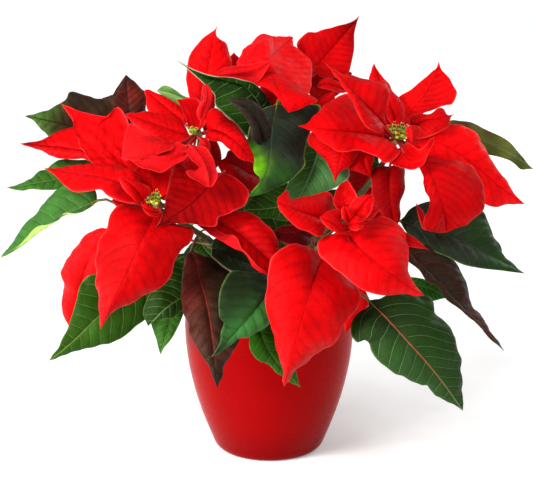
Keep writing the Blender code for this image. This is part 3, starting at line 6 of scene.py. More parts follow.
import bpy
import numpy as np
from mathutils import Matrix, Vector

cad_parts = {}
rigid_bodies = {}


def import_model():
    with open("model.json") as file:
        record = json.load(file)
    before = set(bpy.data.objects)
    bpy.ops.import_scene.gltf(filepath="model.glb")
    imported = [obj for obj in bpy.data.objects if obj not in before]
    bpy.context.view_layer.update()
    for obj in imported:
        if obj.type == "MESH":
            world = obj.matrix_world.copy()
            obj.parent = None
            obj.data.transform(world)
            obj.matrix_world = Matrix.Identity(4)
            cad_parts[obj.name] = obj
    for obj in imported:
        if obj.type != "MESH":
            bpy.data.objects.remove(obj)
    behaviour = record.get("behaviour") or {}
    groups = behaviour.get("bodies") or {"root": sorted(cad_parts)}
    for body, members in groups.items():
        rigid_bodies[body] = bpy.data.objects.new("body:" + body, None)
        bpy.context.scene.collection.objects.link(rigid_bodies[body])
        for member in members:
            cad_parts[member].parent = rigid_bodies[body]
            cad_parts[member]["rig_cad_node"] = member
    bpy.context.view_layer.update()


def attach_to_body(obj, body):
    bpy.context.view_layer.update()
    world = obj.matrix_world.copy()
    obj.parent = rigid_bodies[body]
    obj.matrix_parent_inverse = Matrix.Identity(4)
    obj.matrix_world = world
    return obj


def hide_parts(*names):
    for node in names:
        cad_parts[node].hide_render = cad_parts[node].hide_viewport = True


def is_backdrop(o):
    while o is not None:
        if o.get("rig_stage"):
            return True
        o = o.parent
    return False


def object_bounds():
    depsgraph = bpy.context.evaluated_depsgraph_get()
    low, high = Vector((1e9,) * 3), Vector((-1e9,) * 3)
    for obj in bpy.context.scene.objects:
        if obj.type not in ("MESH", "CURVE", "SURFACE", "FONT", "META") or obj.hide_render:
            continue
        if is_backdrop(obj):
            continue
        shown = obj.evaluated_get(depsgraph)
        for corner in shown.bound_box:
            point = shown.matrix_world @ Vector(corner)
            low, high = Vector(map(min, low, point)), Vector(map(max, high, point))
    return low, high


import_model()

# ---------------------------------------------------------------- dimensions
POT_HEIGHT = 130.0        # mm, foot to rim
POT_WALL = 4.5            # mm
POT_FLOOR = 5.5           # mm
POT_FOOT = 40.0           # mm, radius of the flat underside
POT_HEEL = 45.0           # mm, radius where the side leaves the ground
POT_BELLY = 71.0          # mm, widest radius
POT_BELLY_AT = 105.0      # mm, height of the widest place
POT_SWELL = 1.8           # 1 is a straight cone; more opens fast and then runs upright
POT_DRAW_IN = 1.5         # mm, how far the side comes back in below the rim
SOIL_TOP = 115.0          # mm
TRUNK_RADIUS = 5.0        # mm, at the soil
STALK_RADIUS = 1.1        # mm
SKIN = 0.5                # mm, thickness of a blade


def pot_radius(z):
    """Outside radius of the pot at a height, both in mm."""
    if z < POT_BELLY_AT:
        return POT_BELLY - (POT_BELLY - POT_HEEL) * ((POT_BELLY_AT - z) / POT_BELLY_AT) ** POT_SWELL
    return POT_BELLY - POT_DRAW_IN * ((z - POT_BELLY_AT) / (POT_HEIGHT - POT_BELLY_AT)) ** 2


POT_OUTER = [(pot_radius(z), z) for z in (3.0, 10.0, 30.0, 55.0, 80.0, 105.0, 122.0)]


# ---------------------------------------------------------------- the drawing
# Leaves and bracts are laid out on a front drawing, seen from 17 degrees above
# the horizon at 1.6 m: u runs right, v runs down, and d is how far in front of
# the stem (towards -Y) a point lies, in millimetres.
EL = math.radians(17.0)
DIST = 1.6
FOC = 1920.0
U0, V0 = 266.5, 239.5
AIM = (-0.0022, 0.0, 0.1812)
DEEP = 1.5
TILT = 0.5               # how far an edge below its midrib comes forward, mm per unit of v
EYE = np.array([AIM[0], -DIST * math.cos(EL), AIM[2] + DIST * math.sin(EL)])


def world(uvd):
    """Points of the drawing (u, v, d) in metres; d is drawn at 1 : DEEP."""
    uvd = np.asarray(uvd, float)
    fwd = np.array([0.0, math.cos(EL), -math.sin(EL)])
    up = np.array([0.0, math.sin(EL), math.cos(EL)])
    right = np.array([1.0, 0.0, 0.0])
    ray = (fwd + right * ((uvd[..., 0:1] - U0) / FOC)
           + up * ((V0 - uvd[..., 1:2]) / FOC))
    t = (-uvd[..., 2:3] * DEEP / 1000.0 - EYE[1]) / ray[..., 1:2]
    return EYE + t * ray


def spline(points, params, power=0.5):
    """Points on a smooth curve through the given ones, at 0..1 along it."""
    p = np.asarray(points, float)
    if len(p) == 2:
        return p[0] + (p[1] - p[0]) * np.asarray(params)[:, None]
    seg = np.linalg.norm(np.diff(p[:, :2] if p.shape[1] > 3 else p, axis=0), axis=1)
    seg = np.maximum(seg, 1e-9)
    arc = np.concatenate([[0], np.cumsum(seg)])
    arc /= arc[-1]
    knot = np.concatenate([[0], np.cumsum(seg ** power)])
    knot /= knot[-1]
    x = np.interp(np.clip(params, 0, 1), arc, knot)
    # tangents of the Catmull-Rom curve with uneven knots
    m = np.zeros_like(p)
    h = np.diff(knot)
    s = np.diff(p, axis=0) / h[:, None]
    m[1:-1] = (s[:-1] * h[1:, None] + s[1:] * h[:-1, None]) / (h[1:] + h[:-1])[:, None]
    m[0] = 1.5 * s[0] - 0.5 * m[1]
    m[-1] = 1.5 * s[-1] - 0.5 * m[-2]
    i = np.clip(np.searchsorted(knot, x, side="right") - 1, 0, len(h) - 1)
    f = ((x - knot[i]) / h[i])[:, None]
    hh = h[i][:, None]
    return ((2 * f**3 - 3 * f**2 + 1) * p[i] + (f**3 - 2 * f**2 + f) * hh * m[i]
            + (-2 * f**3 + 3 * f**2) * p[i + 1] + (f**3 - f**2) * hh * m[i + 1])


def unit(v):
    return v / np.maximum(np.linalg.norm(v, axis=-1, keepdims=True), 1e-12)


def rails(leaf, n):
    """Midrib and the two sides' rails, n+1 points each, in metres."""
    s = np.linspace(0, 1, n + 1)
    if leaf.get("wild"):
        return wild_rails(leaf, s)
    mid = spline(leaf["M"], s)
    sides = []
    for key, off in (("A", leaf["da"]), ("B", leaf["db"])):
        curves = []
        for j, rail in enumerate(leaf[key]):
            pts = [tuple(leaf["M"][0][:2]) + (0.0,)]
            for q in rail:
                pts.append((q[0], q[1], q[2] if len(q) > 2 else None))
            pts.append(tuple(leaf["M"][-1][:2]) + (0.0,))
            xy = np.array([q[:2] for q in pts], float)
            arc = np.concatenate([[0], np.cumsum(np.linalg.norm(np.diff(xy, axis=0), axis=1))])
            arc /= arc[-1]
            base_d = np.interp(arc, s, mid[:, 2])
            lean = leaf.get("tilt", TILT) * (xy[:, 1] - np.interp(arc, s, mid[:, 1]))
            o = off if j == 0 else off + leaf.get("over", 4.0)
            full = [(q[0], q[1], bd + ((o * math.sin(math.pi * a) ** 0.6 if 0 < a < 1 else 0.0) if q[2] is None else q[2]) + ln)
                    for q, bd, a, ln in zip(pts, base_d, arc, lean)]
            curves.append(world(spline(full, s)))
        sides.append(curves)
    mid = world(mid)
    return mid, sides[0], sides[1]


def wild_rails(leaf, s):
    """The same for a leaf given by direction, length and width."""
    w = leaf["wild"]
    n = len(s) - 1
    az = math.radians(w["az"])
    el = np.radians(w["el0"] + (w["el1"] - w["el0"]) * s ** w.get("bend", 1.0))
    turn = np.radians(w.get("turn", 0.0)) * s
    d = np.stack([np.cos(el) * np.cos(az + turn), np.cos(el) * np.sin(az + turn), np.sin(el)], -1)
    step = w["L"] / 1000.0 / n
    mid = np.array(w["p"]) / 1000.0 + np.concatenate([[np.zeros(3)], np.cumsum((d[1:] + d[:-1]) / 2 * step, axis=0)])
    flat = np.stack([-np.sin(az + turn), np.cos(az + turn), 0 * s], -1)
    nrm = unit(np.cross(d, flat))
    roll = np.radians(w.get("roll", 0.0)) + np.radians(w.get("twist", 0.0)) * s
    side = flat * np.cos(roll)[:, None] + nrm * np.sin(roll)[:, None]
    nrm = unit(np.cross(d, side))
    shape = (np.sin(np.pi * s ** 0.62) ** 0.85) * (1 - 0.25 * s)
    shape = shape / shape.max()
    lobe = w.get("lobe", 0.0)
    shape = shape * (1 + lobe * np.sin(s * math.pi * 5.0 + w.get("ph", 0.0)) * np.sin(np.pi * s))
    half = (w["W"] / 2000.0 * shape)[:, None]
    f = math.radians(w.get("fold", 12.0))
    wav = (w.get("wave", 2.0) / 1000.0 * np.sin(s * math.pi * 2 * w.get("nw", 2.0) + w.get("ph", 0.0)) * np.sin(np.pi * s))[:, None]
    wav2 = (w.get("wave", 2.0) / 1000.0 * np.sin(s * math.pi * 2 * w.get("nw", 2.0) + 1.7 + w.get("ph", 0.0)) * np.sin(np.pi * s))[:, None]
    a = mid + half * (math.cos(f) * side + math.sin(f) * nrm) + wav * nrm
    b = mid + half * (-math.cos(f) * side + math.sin(f) * nrm) + wav2 * nrm
    return mid, [a], [b]


def blade(leaf, n, m):
    """Middle surface of a blade: an (n+1, 2m+1, 3) grid from side A to side B,
    the along positions 0..1, and the across positions -1..1."""
    mid, A, B = rails(leaf, n)
    tan = unit(np.gradient(mid, axis=0))
    across = (B[0] - A[0])
    up = np.cross(across, tan)
    k = n // 2
    if not leaf.get("wild"):
        seen = float(np.dot(up[k], EYE - mid[k]))
        if (seen > 0) != (leaf.get("face", "top") == "top"):
            A, B = B, A
            up = -up
    elif up[k][2] < 0:
        A, B = B, A
        up = -up
    a = np.linspace(0, 1, m + 1)
    s = np.linspace(0, 1, n + 1)
    width = np.linalg.norm(A[0] - mid, axis=1) + np.linalg.norm(B[0] - mid, axis=1)
    share = (width / max(width.max(), 1e-9))[:, None, None]
    rows = []
    for rail in (A, B):
        if len(rail) == 1:
            e = rail[0]
            g = mid[:, None] + (e - mid)[:, None] * a[None, :, None]
        else:
            e, e2 = rail
            l1 = np.linalg.norm(e - mid, axis=1).mean()
            l2 = np.linalg.norm(e2 - e, axis=1).mean()
            tc = l1 / (l1 + l2)
            x = a[None, :, None]
            one = mid[:, None] + (e - mid)[:, None] * (x / tc)
            two = e[:, None] + (e2 - e)[:, None] * ((x - tc) / (1 - tc))
            g = np.where(x <= tc, one, two)
            # round the fold
            for _ in range(max(1, m // 8)):
                h = g.copy()
                h[:, 1:-1] = 0.25 * g[:, :-2] + 0.5 * g[:, 1:-1] + 0.25 * g[:, 2:]
                g = h
        rows.append(g)
    ga, gb = rows
    arch = leaf.get("arch", 2.0) / 1000.0
    sgn = 1.0
    for g, rail, side in ((ga, A, -1), (gb, B, 1)):
        e = rail[0]
        nrm = unit(np.cross((e - mid) * side, tan))
        g += (nrm[:, None] * (arch * 4 * (a * (1 - a))[None, :, None]) * share)
    grid = np.concatenate([ga[:, :0:-1], gb], axis=1)
    t = np.concatenate([-a[:0:-1], a])
    return grid, s, t


def grid_normals(g):
    du = np.gradient(g, axis=0)
    dv = np.gradient(g, axis=1)
    return unit(np.cross(dv, du))


LEAVES = []


def leaf(name, kind, M, A, B, da=-3.0, db=-3.0, arch=2.0, **more):
    """One blade: midrib M from base to tip, sides A and B as (u, v[, offset])
    points, and how far (mm) each side lies in front of the midrib."""
    A = A if isinstance(A[0], list) else [A]
    B = B if isinstance(B[0], list) else [B]
    LEAVES.append(dict(name=name, kind=kind, M=M, A=A, B=B, da=da, db=db, arch=arch, **more))


# heads: centre of each flower cluster on the drawing (u, v, d)
HEADS = {
    "a": (157, 203, 52), "b": (196, 133, 26), "d": (286, 76, -30),
    "e": (397, 137, 14), "f": (341, 222, 72),
}

# ---- head a: left front
leaf("bract_a1", "bract",
     [(158, 212, 56), (143, 237, 72), (127, 273, 82), (112, 304, 86), (101, 329, 84)],
     [(140, 207), (122, 205), (111, 212), (107, 228), (99, 239), (96, 258), (96, 278), (98, 300), (100, 318)],
     [(176, 222), (194, 231), (190, 243), (181, 251), (176, 259), (172, 273), (164, 284), (148, 293), (129, 304), (112, 311), (105, 320)],
     da=-7, db=-9, arch=4, head="a", low=12)
leaf("bract_a2", "bract",
     [(137, 195, 51), (126, 186, 53), (105, 178, 50), (80, 174, 44), (60, 171, 37), (44, 168, 31)],
     [(140, 175), (120, 166), (105, 164), (90, 164), (72, 165), (57, 169)],
     [(135, 204), (118, 201), (108, 196), (100, 189.5), (88, 191.5), (74, 192), (64, 185), (54, 175)],
     da=-5, db=3, arch=3, head="a", low=8, pet=[(150, 214, 50), (143, 206, 49)])
leaf("bract_a3", "bract",
     [(147, 188, 30), (126, 168, 30), (100, 150, 26), (80, 128, 18), (62, 104, 8)],
     [(125, 176), (106, 170), (94, 164.5), (87, 158), (81, 148), (78, 137), (75, 124), (69, 112)],
     [(146, 172), (136, 160), (124, 154), (124, 140), (129, 125), (118, 107), (108, 116), (97, 115), (80, 111), (69, 107)],
     da=2, db=0, arch=-2, head="a", wrinkle=1.0, low=9)
leaf("bract_a4", "bract",
     [(112, 166, 12), (88, 152, 6), (62, 147, 0), (40, 145, -4), (20.4, 143.6, -6)],
     [(100, 136), (80, 125), (68, 127.5), (58, 131), (48, 137.5), (39, 141.5), (30, 143)],
     [(104, 172), (88, 160), (76, 159), (62, 158.3), (54, 157), (46, 153.5), (37, 150), (28, 146.3)],
     da=-5, db=-3, arch=4, head="a", tip="dark", low=15)
leaf("bract_a5", "bract",
     [(124, 222, 36), (104, 238, 30), (88, 262, 23.5), (79, 292, 17), (70, 330, 11)],
     [(112, 228.5), (98, 229.5), (87, 234), (74, 249), (62, 268), (61, 276), (65, 287), (62, 302), (65, 318)],
     [(124, 242), (112, 262), (98, 280), (90, 300), (80, 320)],
     da=-8, db=-2, arch=4, tilt=0.2, head="a", low=19)
leaf("bract_a6", "bract",
     [(156, 200, 46), (153, 190, 41), (151, 178, 38), (152, 164, 35)],
     [(142, 192), (134, 179), (137, 167)],
     [(170, 192), (174, 178), (169, 166)],
     da=2, db=2, arch=-1.5, head="a")
leaf("bract_a7", "bract",
     [(142, 202, 58), (138, 193, 63), (130, 184, 65), (119.5, 177, 62)],
     [(150, 189), (141, 182), (130, 178.7)],
     [(136, 201), (125, 191), (121, 183)],
     da=-2, db=-2, arch=2, head="a")
leaf("bract_a8", "bract",
     [(222, 173, 34), (207, 188, 48), (192, 203, 58), (172, 217, 66), (155, 228, 69)],
     [(206, 170), (190, 170), (177, 163), (171, 175), (167, 192), (164, 208), (160, 221)],
     [(238, 180), (249, 192), (244, 206), (232, 212), (219, 217), (216, 226), (200, 225), (183, 223.5), (168, 224)],
     da=3, db=-4, arch=-2, at=(211, 184, 12), tone=0.62, tip="dark")
leaf("bract_g", "bract",
     [(203, 216, 38), (221, 224, 46), (241, 236, 53), (260, 252, 59), (277, 270, 62)],
     [(214, 211), (232, 210.5), (249, 212), (262, 221), (272, 231), (279, 248), (281, 262)],
     [[(197, 226), (207, 234.5), (219, 242.5), (232, 250), (244, 256), (251, 268), (262, 274), (270, 276)],
      [(212, 226), (224, 234), (236, 237), (242, 249), (250, 257), (258, 266), (268, 272)]],
     da=-3, db=4, arch=3, tilt=0.2, head="a", low=28, over=3.0, tone=0.5)
# ---- head b: left, higher
leaf("bract_b1", "bract",
     [(176, 143, 36), (160, 142, 42), (142, 146, 45), (121.5, 158, 44)],
     [(166, 140), (150, 134), (139, 127), (130, 123.5), (125, 135), (123, 148)],
     [(170, 150), (152, 155), (138, 160), (130, 160)],
     da=-3, db=0, arch=3, head="b", face="under")
leaf("bract_b1b", "bract",
     [(190, 150, 38), (172, 156, 46), (152, 157, 49), (131, 160.5, 47)],
     [(180, 143), (165, 142), (152, 143), (144.5, 146), (137, 154)],
     [(187, 158), (178, 163), (170, 168), (160, 171.5), (150, 169), (140, 167)],
     da=-2, db=-1, arch=3, head="b", face="under")
leaf("bract_b2", "bract",
     [(190, 136, 26), (168, 129, 24), (146, 121, 21), (126, 114, 19)],
     [(184, 124), (165, 116), (146, 111), (135, 113)],
     [(180, 143), (160, 141), (146, 133), (133, 124)],
     da=-2, db=-2, arch=2, head="b")
leaf("bract_b3", "bract",
     [(185, 124, 18), (174, 114, 13), (162, 104, 8), (145, 90, 2)],
     [(176, 132), (160, 126), (148, 112), (146, 100)],
     [(190, 118), (183, 110), (177, 104), (168, 99), (159, 95), (152, 91.5)],
     da=-2, db=-3, arch=3, tilt=0.4, head="b", low=3)
leaf("bract_b4", "bract",
     [(197, 131, 24), (193, 119, 22), (186, 107, 17), (177, 99.5, 12)],
     [(189, 127), (186, 116), (179, 104)],
     [(205, 125), (204, 112), (198, 99), (190, 98.5), (184, 99)],
     da=1, db=-2, arch=-1, head="b")
leaf("bract_b5", "bract",
     [(201, 121, 33), (202, 111, 34), (206, 99, 32), (206, 84, 26)],
     [(197, 115), (198, 107), (203, 99), (202, 90)],
     [(204, 120), (209, 109), (211.5, 97), (210, 89)],
     da=2, db=-3, arch=-2, head="b", face="under")
leaf("bract_b6", "bract",
     [(208, 131, 23), (220, 132, 28), (236, 142, 33), (254, 163, 34)],
     [(204, 117), (214, 108), (226, 116), (238, 127), (247, 140), (252, 152)],
     [(205, 138), (213, 141), (221, 141), (229, 149), (240, 158)],
     da=-3, db=-2, arch=3, head="b", low=8, pet=[(211, 140, 25)])
leaf("bract_b7", "bract",
     [(190, 146, 38), (201, 158, 50), (207, 172, 60), (209, 187, 63)],
     [(187, 151), (192, 161), (199, 168), (186, 171.5), (192, 178), (201, 184)],
     [(205, 147), (212, 156), (216, 167), (218, 176), (213, 185)],
     da=0, db=-3, arch=3, head="b", face="under")
leaf("bract_b8", "bract",
     [(200, 126, 14), (203, 100, 0), (208, 70, -10), (213, 44, -15), (217, 26.5, -16)],
     [(191, 112), (190, 95), (187, 78), (187, 66), (192, 54), (198, 44), (206, 37), (213, 31)],
     [(211, 114), (218, 100), (226, 84), (232, 66), (230.5, 52), (226, 42.5), (220, 40), (215, 33)],
     da=-3, db=-3, arch=3, head="b", low=12, pet=[(203, 139, 8)])
leaf("bract_b9", "bract",
     [(240, 84, -24), (236, 68, -27), (234, 52.5, -29)],
     [(229, 70), (229.5, 58)],
     [(247, 70), (240, 59)],
     da=-1, db=-1, arch=1, head="d")
leaf("bract_g2", "bract",
     [(266, 180, 2), (248, 172, 8), (232, 164, 12), (215.5, 160, 13)],
     [(262, 164), (248, 156), (236, 149), (228.5, 150), (223, 159)],
     [(257, 192), (243, 189), (232, 182), (222, 173)],
     da=-1, db=-1, arch=2, at=(279, 200, -16), tone=0.5)
# ---- head d: top
leaf("bract_d1", "bract",
     [(313, 70, -36), (325, 56, -42), (341, 38, -47), (359, 16.5, -50)],
     [(304, 58), (297, 45), (302, 37), (308, 33), (316, 33), (326, 29), (337, 26), (346, 23.8), (354, 20.5)],
     [(322, 77), (336, 78), (347, 75), (351, 65), (353, 52), (353.5, 38), (355.5, 27)],
     da=2, db=-1, arch=3, tilt=0.2, head="d", tip="dark")
leaf("bract_d2", "bract",
     [(246, 72, -12), (256, 65, -8), (266, 60, -6), (278, 50, -20), (286, 43, -29), (293, 37, -34)],
     [(236, 63), (240, 57), (250, 43), (262, 35.5), (275, 36), (285, 37)],
     [(250, 80), (258, 86), (268, 89), (276, 96), (289, 112), (302, 106), (309, 93), (312, 80), (313, 66), (308, 58), (299, 56), (292, 45)],
     da=-10, db=-2, arch=4, tilt=0.2, head="d", wrinkle=0.4)
leaf("bract_b10", "bract",
     [(210, 77, 2), (224, 75, 2), (238, 73.5, 3), (254, 70, 3), (270, 61.5, 1)],
     [(222, 69), (235, 65.5), (250, 64), (261, 61.5)],
     [(213, 80), (225, 81), (240, 82), (253, 83.5), (263, 76)],
     da=-1, db=0, arch=3, tilt=0.2, head="b", face="under", low=17, pet=[(206, 144, 4), (219, 121, 0), (227, 104, -1), (224, 88, 2)])
leaf("bract_d4", "bract",
     [(274, 80, -16), (273, 96, -13), (273, 109, -11), (273, 121, -10)],
     [(261, 86), (260, 96), (263, 109), (269, 117)],
     [(284, 92), (288, 103), (285, 113), (279, 118)],
     da=-2, db=-2, arch=2, head="d", tone=0.45)
leaf("bract_e13", "bract",
     [(348, 92, -24), (336, 87, -22), (326, 84, -22), (317, 87, -22)],
     [(342, 84), (330, 79), (321, 80)],
     [(340, 93), (330, 90), (322, 88.5)],
     da=0, db=0, arch=1, head="e")
leaf("bract_d6", "bract",
     [(298, 100, -22), (311, 104, -19), (323, 98, -17), (334, 91, -16)],
     [(305, 94), (316, 100), (325, 95.5)],
     [(303, 112), (318, 112), (334, 103)],
     da=-1, db=-1, arch=1, tilt=0.2, head="d")
leaf("bract_d7", "bract",
     [(306, 88, -40), (324, 84, -46), (338, 78, -50), (352, 73, -52)],
     [(309, 76), (320, 68), (336, 67)],
     [(318, 102), (333, 98), (345, 88)],
     da=0, db=0, arch=2, head="d", tone=0.5)
leaf("bract_d3", "bract",
     [(264, 67, -7), (270, 74, 0), (277, 87, 13), (284, 101, 19), (288.5, 112.5, 20)],
     [(261, 76), (253, 85), (262, 86.5), (274, 94), (283, 105)],
     [(272, 68), (287, 80), (303, 92), (318, 101), (306, 106), (295, 110)],
     da=-4, db=-5, arch=2, head="d")
# ---- head e: right
leaf("bract_e1", "bract",
     [(383, 140, 20), (368, 134, 25), (345, 131.5, 30), (320, 128.5, 32), (298.5, 126, 30)],
     [(382, 125), (374, 114), (358, 98), (344, 93), (335, 98), (324, 106.5), (313, 116), (308, 122.5), (304, 125)],
     [(400, 151), (392, 161), (384, 163), (377, 157), (367, 153), (358, 150), (346, 152), (338, 151.5), (328, 145), (317, 138), (311, 132.5), (305, 128.5)],
     da=-4, db=-5, arch=3, head="e", low=11)
leaf("bract_e2", "bract",
     [(384, 125, 31), (375, 114, 36), (362, 101, 37), (346, 84.5, 30), (335, 72.5, 22), (325, 63, 14)],
     [(381, 132.5), (369, 129), (362, 121), (355, 108), (350, 98), (343, 86), (336, 76)],
     [(387, 125), (385, 115), (388, 104), (389, 92), (385, 81), (376, 79.5), (368, 79), (356, 77), (344, 74.5), (333, 69)],
     da=1, db=-4, arch=3, head="e", low=4, pet=[(389, 134, 24)])
leaf("bract_e3", "bract",
     [(397, 127, 8), (391, 107, 0), (383, 88, -8), (374, 63.5, -15)],
     [(389, 120), (384, 105), (376, 90), (369, 79), (371.5, 71)],
     [(404, 118), (403, 107), (399, 98), (393, 92), (389, 83), (382, 77.5), (377, 71)],
     da=-1, db=-2, arch=2, head="e")
leaf("bract_e4", "bract",
     [(403, 125, 2), (413, 109, -9), (425, 95, -16), (434, 79, -21), (439, 62, -24)],
     [(397, 114), (398, 98), (410, 90), (422, 80.5), (432, 71.5), (437, 67)],
     [(410, 125), (418, 116), (428, 111), (438, 107.5), (446, 105.5), (452, 104), (456, 97), (457, 91), (454, 86.5), (450, 79), (445, 73.5), (441, 69)],
     da=2, db=-4, arch=-1, head="e", low=14)
leaf("bract_e5", "bract",
     [(411, 131, 9), (424, 121, 13), (440, 118, 15), (454.5, 114, 12)],
     [(410, 119), (418, 114.5), (430, 114), (439, 108.7), (444, 110), (447.5, 116)],
     [(412, 138), (425, 138), (438, 133), (447, 127), (450.5, 118.5)],
     da=-2, db=-2, arch=2, head="e")
leaf("bract_e6", "bract",
     [(411, 143, 15), (440, 144, 18), (474, 165, 20), (501, 188, 18), (525, 204, 12)],
     [(424, 133), (445, 126), (458, 124.5), (468, 127), (476, 133), (480, 141), (487, 150.5), (496, 167), (503, 177), (508, 184), (513, 193), (518, 199)],
     [(420, 156), (445, 172), (470, 190), (484, 203), (490, 206), (500, 206.5), (510, 204.6), (518, 204)],
     da=-6, db=-4, arch=4, tilt=0.2, head="e", low=6)
leaf("bract_e7", "bract",
     [(418, 155, 24), (430, 171, 38), (438, 192, 46), (444, 210, 49), (446, 232, 45)],
     [(418, 163), (423, 176), (424.5, 190), (430, 199.5), (429, 209), (424.5, 217), (425, 229), (435, 231.5)],
     [(438, 156), (452, 160), (464, 162), (474, 169), (482, 183), (486, 199), (481, 212), (470, 223), (458, 228.5)],
     da=-4, db=-8, arch=3, tilt=0.3, head="e", low=14)
leaf("bract_e7t", "bract",
     [(443, 223, 50), (430, 229, 41), (421, 216, 35), (416, 203, 32)],
     [(426, 222), (424, 213), (419.5, 207)],
     [(424, 230), (420, 222), (417.5, 212)],
     da=0, db=0, arch=0.5, head="e", tone=0.6)
leaf("bract_e8", "bract",
     [(402, 149, 28), (411, 160, 37), (424, 153, 41), (434.5, 137, 39)],
     [(395, 157), (391, 163), (403, 169), (413, 169.5), (422, 165), (428, 156), (432.5, 146)],
     [(408, 142), (417, 150), (425, 146), (430, 140)],
     da=-3, db=2, arch=-2, head="e")
leaf("bract_e8b", "bract",
     [(411, 148, 24), (412, 139, 30), (412, 131, 32), (410, 125, 32)],
     [(407, 139), (406.5, 128)],
     [(415, 141), (421, 129)],
     da=0, db=0, arch=1, head="e", face="under")
leaf("bract_e9", "bract",
     [(346, 140, 16), (341, 154, 22), (337.5, 168, 25), (335, 183, 26)],
     [(325, 133), (312, 134), (308, 140), (310, 147), (318, 153), (326, 162), (332, 173)],
     [(358, 150), (354, 160), (345, 169), (340, 172), (336.6, 178)],
     da=-3, db=-2, arch=2, head="e")
leaf("bract_e10", "bract",
     [(372, 150, 14), (364, 157, 18), (366, 168, 20), (371, 178, 19)],
     [(352, 154), (348, 168), (357, 171.5), (365, 174)],
     [(374, 157), (371, 166), (371, 173)],
     da=-2, db=-2, arch=2, head="e")
leaf("bract_e11", "bract",
     [(390, 167, 15), (389, 182, 22), (391, 204, 29), (395, 228, 32)],
     [(374, 168), (371, 188), (372, 208), (382, 224)],
     [(404, 166), (404, 184), (401, 202), (399, 220)],
     da=-2, db=-2, arch=3, head="e", tone=0.5, low=20)
leaf("bract_e12", "bract",
     [(378, 157, -7), (366, 178, -9), (358, 198, -11), (352, 216, -13)],
     [(352, 166), (347, 186), (346, 204)],
     [(380, 176), (374, 198), (364, 212)],
     da=-2, db=-2, arch=2, at=(384, 163, 10), tone=0.35)
# ---- head f: right front, low
leaf("bract_f1", "bract",
     [(323, 256, 62), (315, 277, 78), (307, 302, 89), (299, 330, 94), (291, 358, 93), (284, 386.5, 89)],
     [(314, 250), (305, 246), (297, 243.5), (288, 245), (279, 250.5), (271, 259), (269, 270), (266, 286), (267, 306), (270, 322), (275, 344), (281, 363), (283.3, 378)],
     [(334, 263), (348, 276), (359, 290), (359, 304), (350, 319), (341, 329), (338, 338), (330, 346), (316, 355), (302, 366), (293, 372), (288, 379)],
     da=-8, db=-10, arch=4, tilt=0.1, head="f", low=13)
leaf("bract_f2", "bract",
     [(344, 232, 75), (364, 252, 90), (386, 270, 98), (406, 285, 97), (424, 295.5, 92)],
     [(352, 229), (362, 223), (374, 219), (384, 216.5), (393, 221), (400, 226), (406, 236), (409, 248), (409, 262), (410, 275), (413, 284), (418, 290)],
     [(334, 233), (325, 236), (318.5, 241), (317, 247), (319.5, 256), (326, 262), (334, 268.5), (344, 276), (352, 283), (361, 289), (372, 293), (384, 294.7), (396, 293.5), (405, 293), (414, 294.7)],
     da=-6, db=-8, arch=4, head="f", low=8)
leaf("bract_f3", "bract",
     [(328, 221, 70), (311, 215, 78), (296, 210, 82), (284, 205, 83), (277, 202, 82)],
     [(333, 206), (332, 193), (320, 193.5), (310, 195), (300, 197.8), (290, 198), (286.5, 190.5), (280, 196)],
     [(324, 232), (319, 237), (308, 232), (300, 229.5), (292, 224), (285, 216), (279, 209)],
     da=-4, db=-4, arch=4, head="f")
leaf("bract_f4a", "bract",
     [(352, 228, 80), (343, 231, 87), (333, 224, 89), (320, 217, 86)],
     [(349, 234), (339, 233), (329, 228), (322, 222)],
     [(345, 224), (338, 222), (341, 211), (334, 209), (326, 213)],
     da=-1, db=-1, arch=2, head="f")
leaf("bract_f4b", "bract",
     [(352, 219, 77), (361, 208, 82), (367, 200, 82), (374, 194.5, 80)],
     [(350, 206), (356, 197), (365, 194.5)],
     [(361, 221), (370, 214), (373.5, 203)],
     da=0, db=-1, arch=1.5, head="f", wrinkle=0.8)
leaf("bract_f4c", "bract",
     [(347, 211, 74), (345, 204, 75), (343, 193, 73), (348, 180, 69)],
     [(337, 209), (334, 198), (338, 186)],
     [(356, 208), (357, 196), (352, 187)],
     da=1, db=1, arch=-1, head="f", wrinkle=1.0)
leaf("bract_f4d", "bract",
     [(349, 223, 84), (347, 214, 88), (344, 206, 88)],
     [(343, 219), (341.5, 210)],
     [(354, 216), (350, 208)],
     da=0, db=0, arch=1, head="f", wrinkle=0.6)
leaf("bract_f4e", "bract",
     [(349, 227, 84), (356, 223, 90), (364, 226, 90)],
     [(352, 219), (359, 217)],
     [(354, 231), (360, 229)],
     da=0, db=0, arch=1, head="f", wrinkle=0.6)
leaf("bract_f5", "bract",
     [(390, 232, 64), (404, 239, 72), (417, 244, 74), (428.5, 249.5, 73)],
     [(400, 229), (410, 235), (420, 242.5)],
     [(398, 245), (408, 246.5), (418, 248)],
     da=-1, db=-1, arch=1, head="f")
leaf("bract_f7", "bract",
     [(350, 276, 38), (361, 295, 40), (356, 314, 43), (346, 333, 45)],
     [(343, 284), (345, 303), (344, 320)],
     [(366, 290), (369, 306), (358, 318)],
     da=-2, db=-2, arch=2, at=(318, 249, 45))
leaf("bract_f8", "bract",
     [(312, 238, 42), (300, 234, 47), (288, 233, 47), (274, 231, 45)],
     [(304, 226), (288, 225), (279, 227)],
     [(308, 246), (292, 246), (281, 242)],
     da=0, db=0, arch=1, at=(316, 250, 44), tone=0.35)
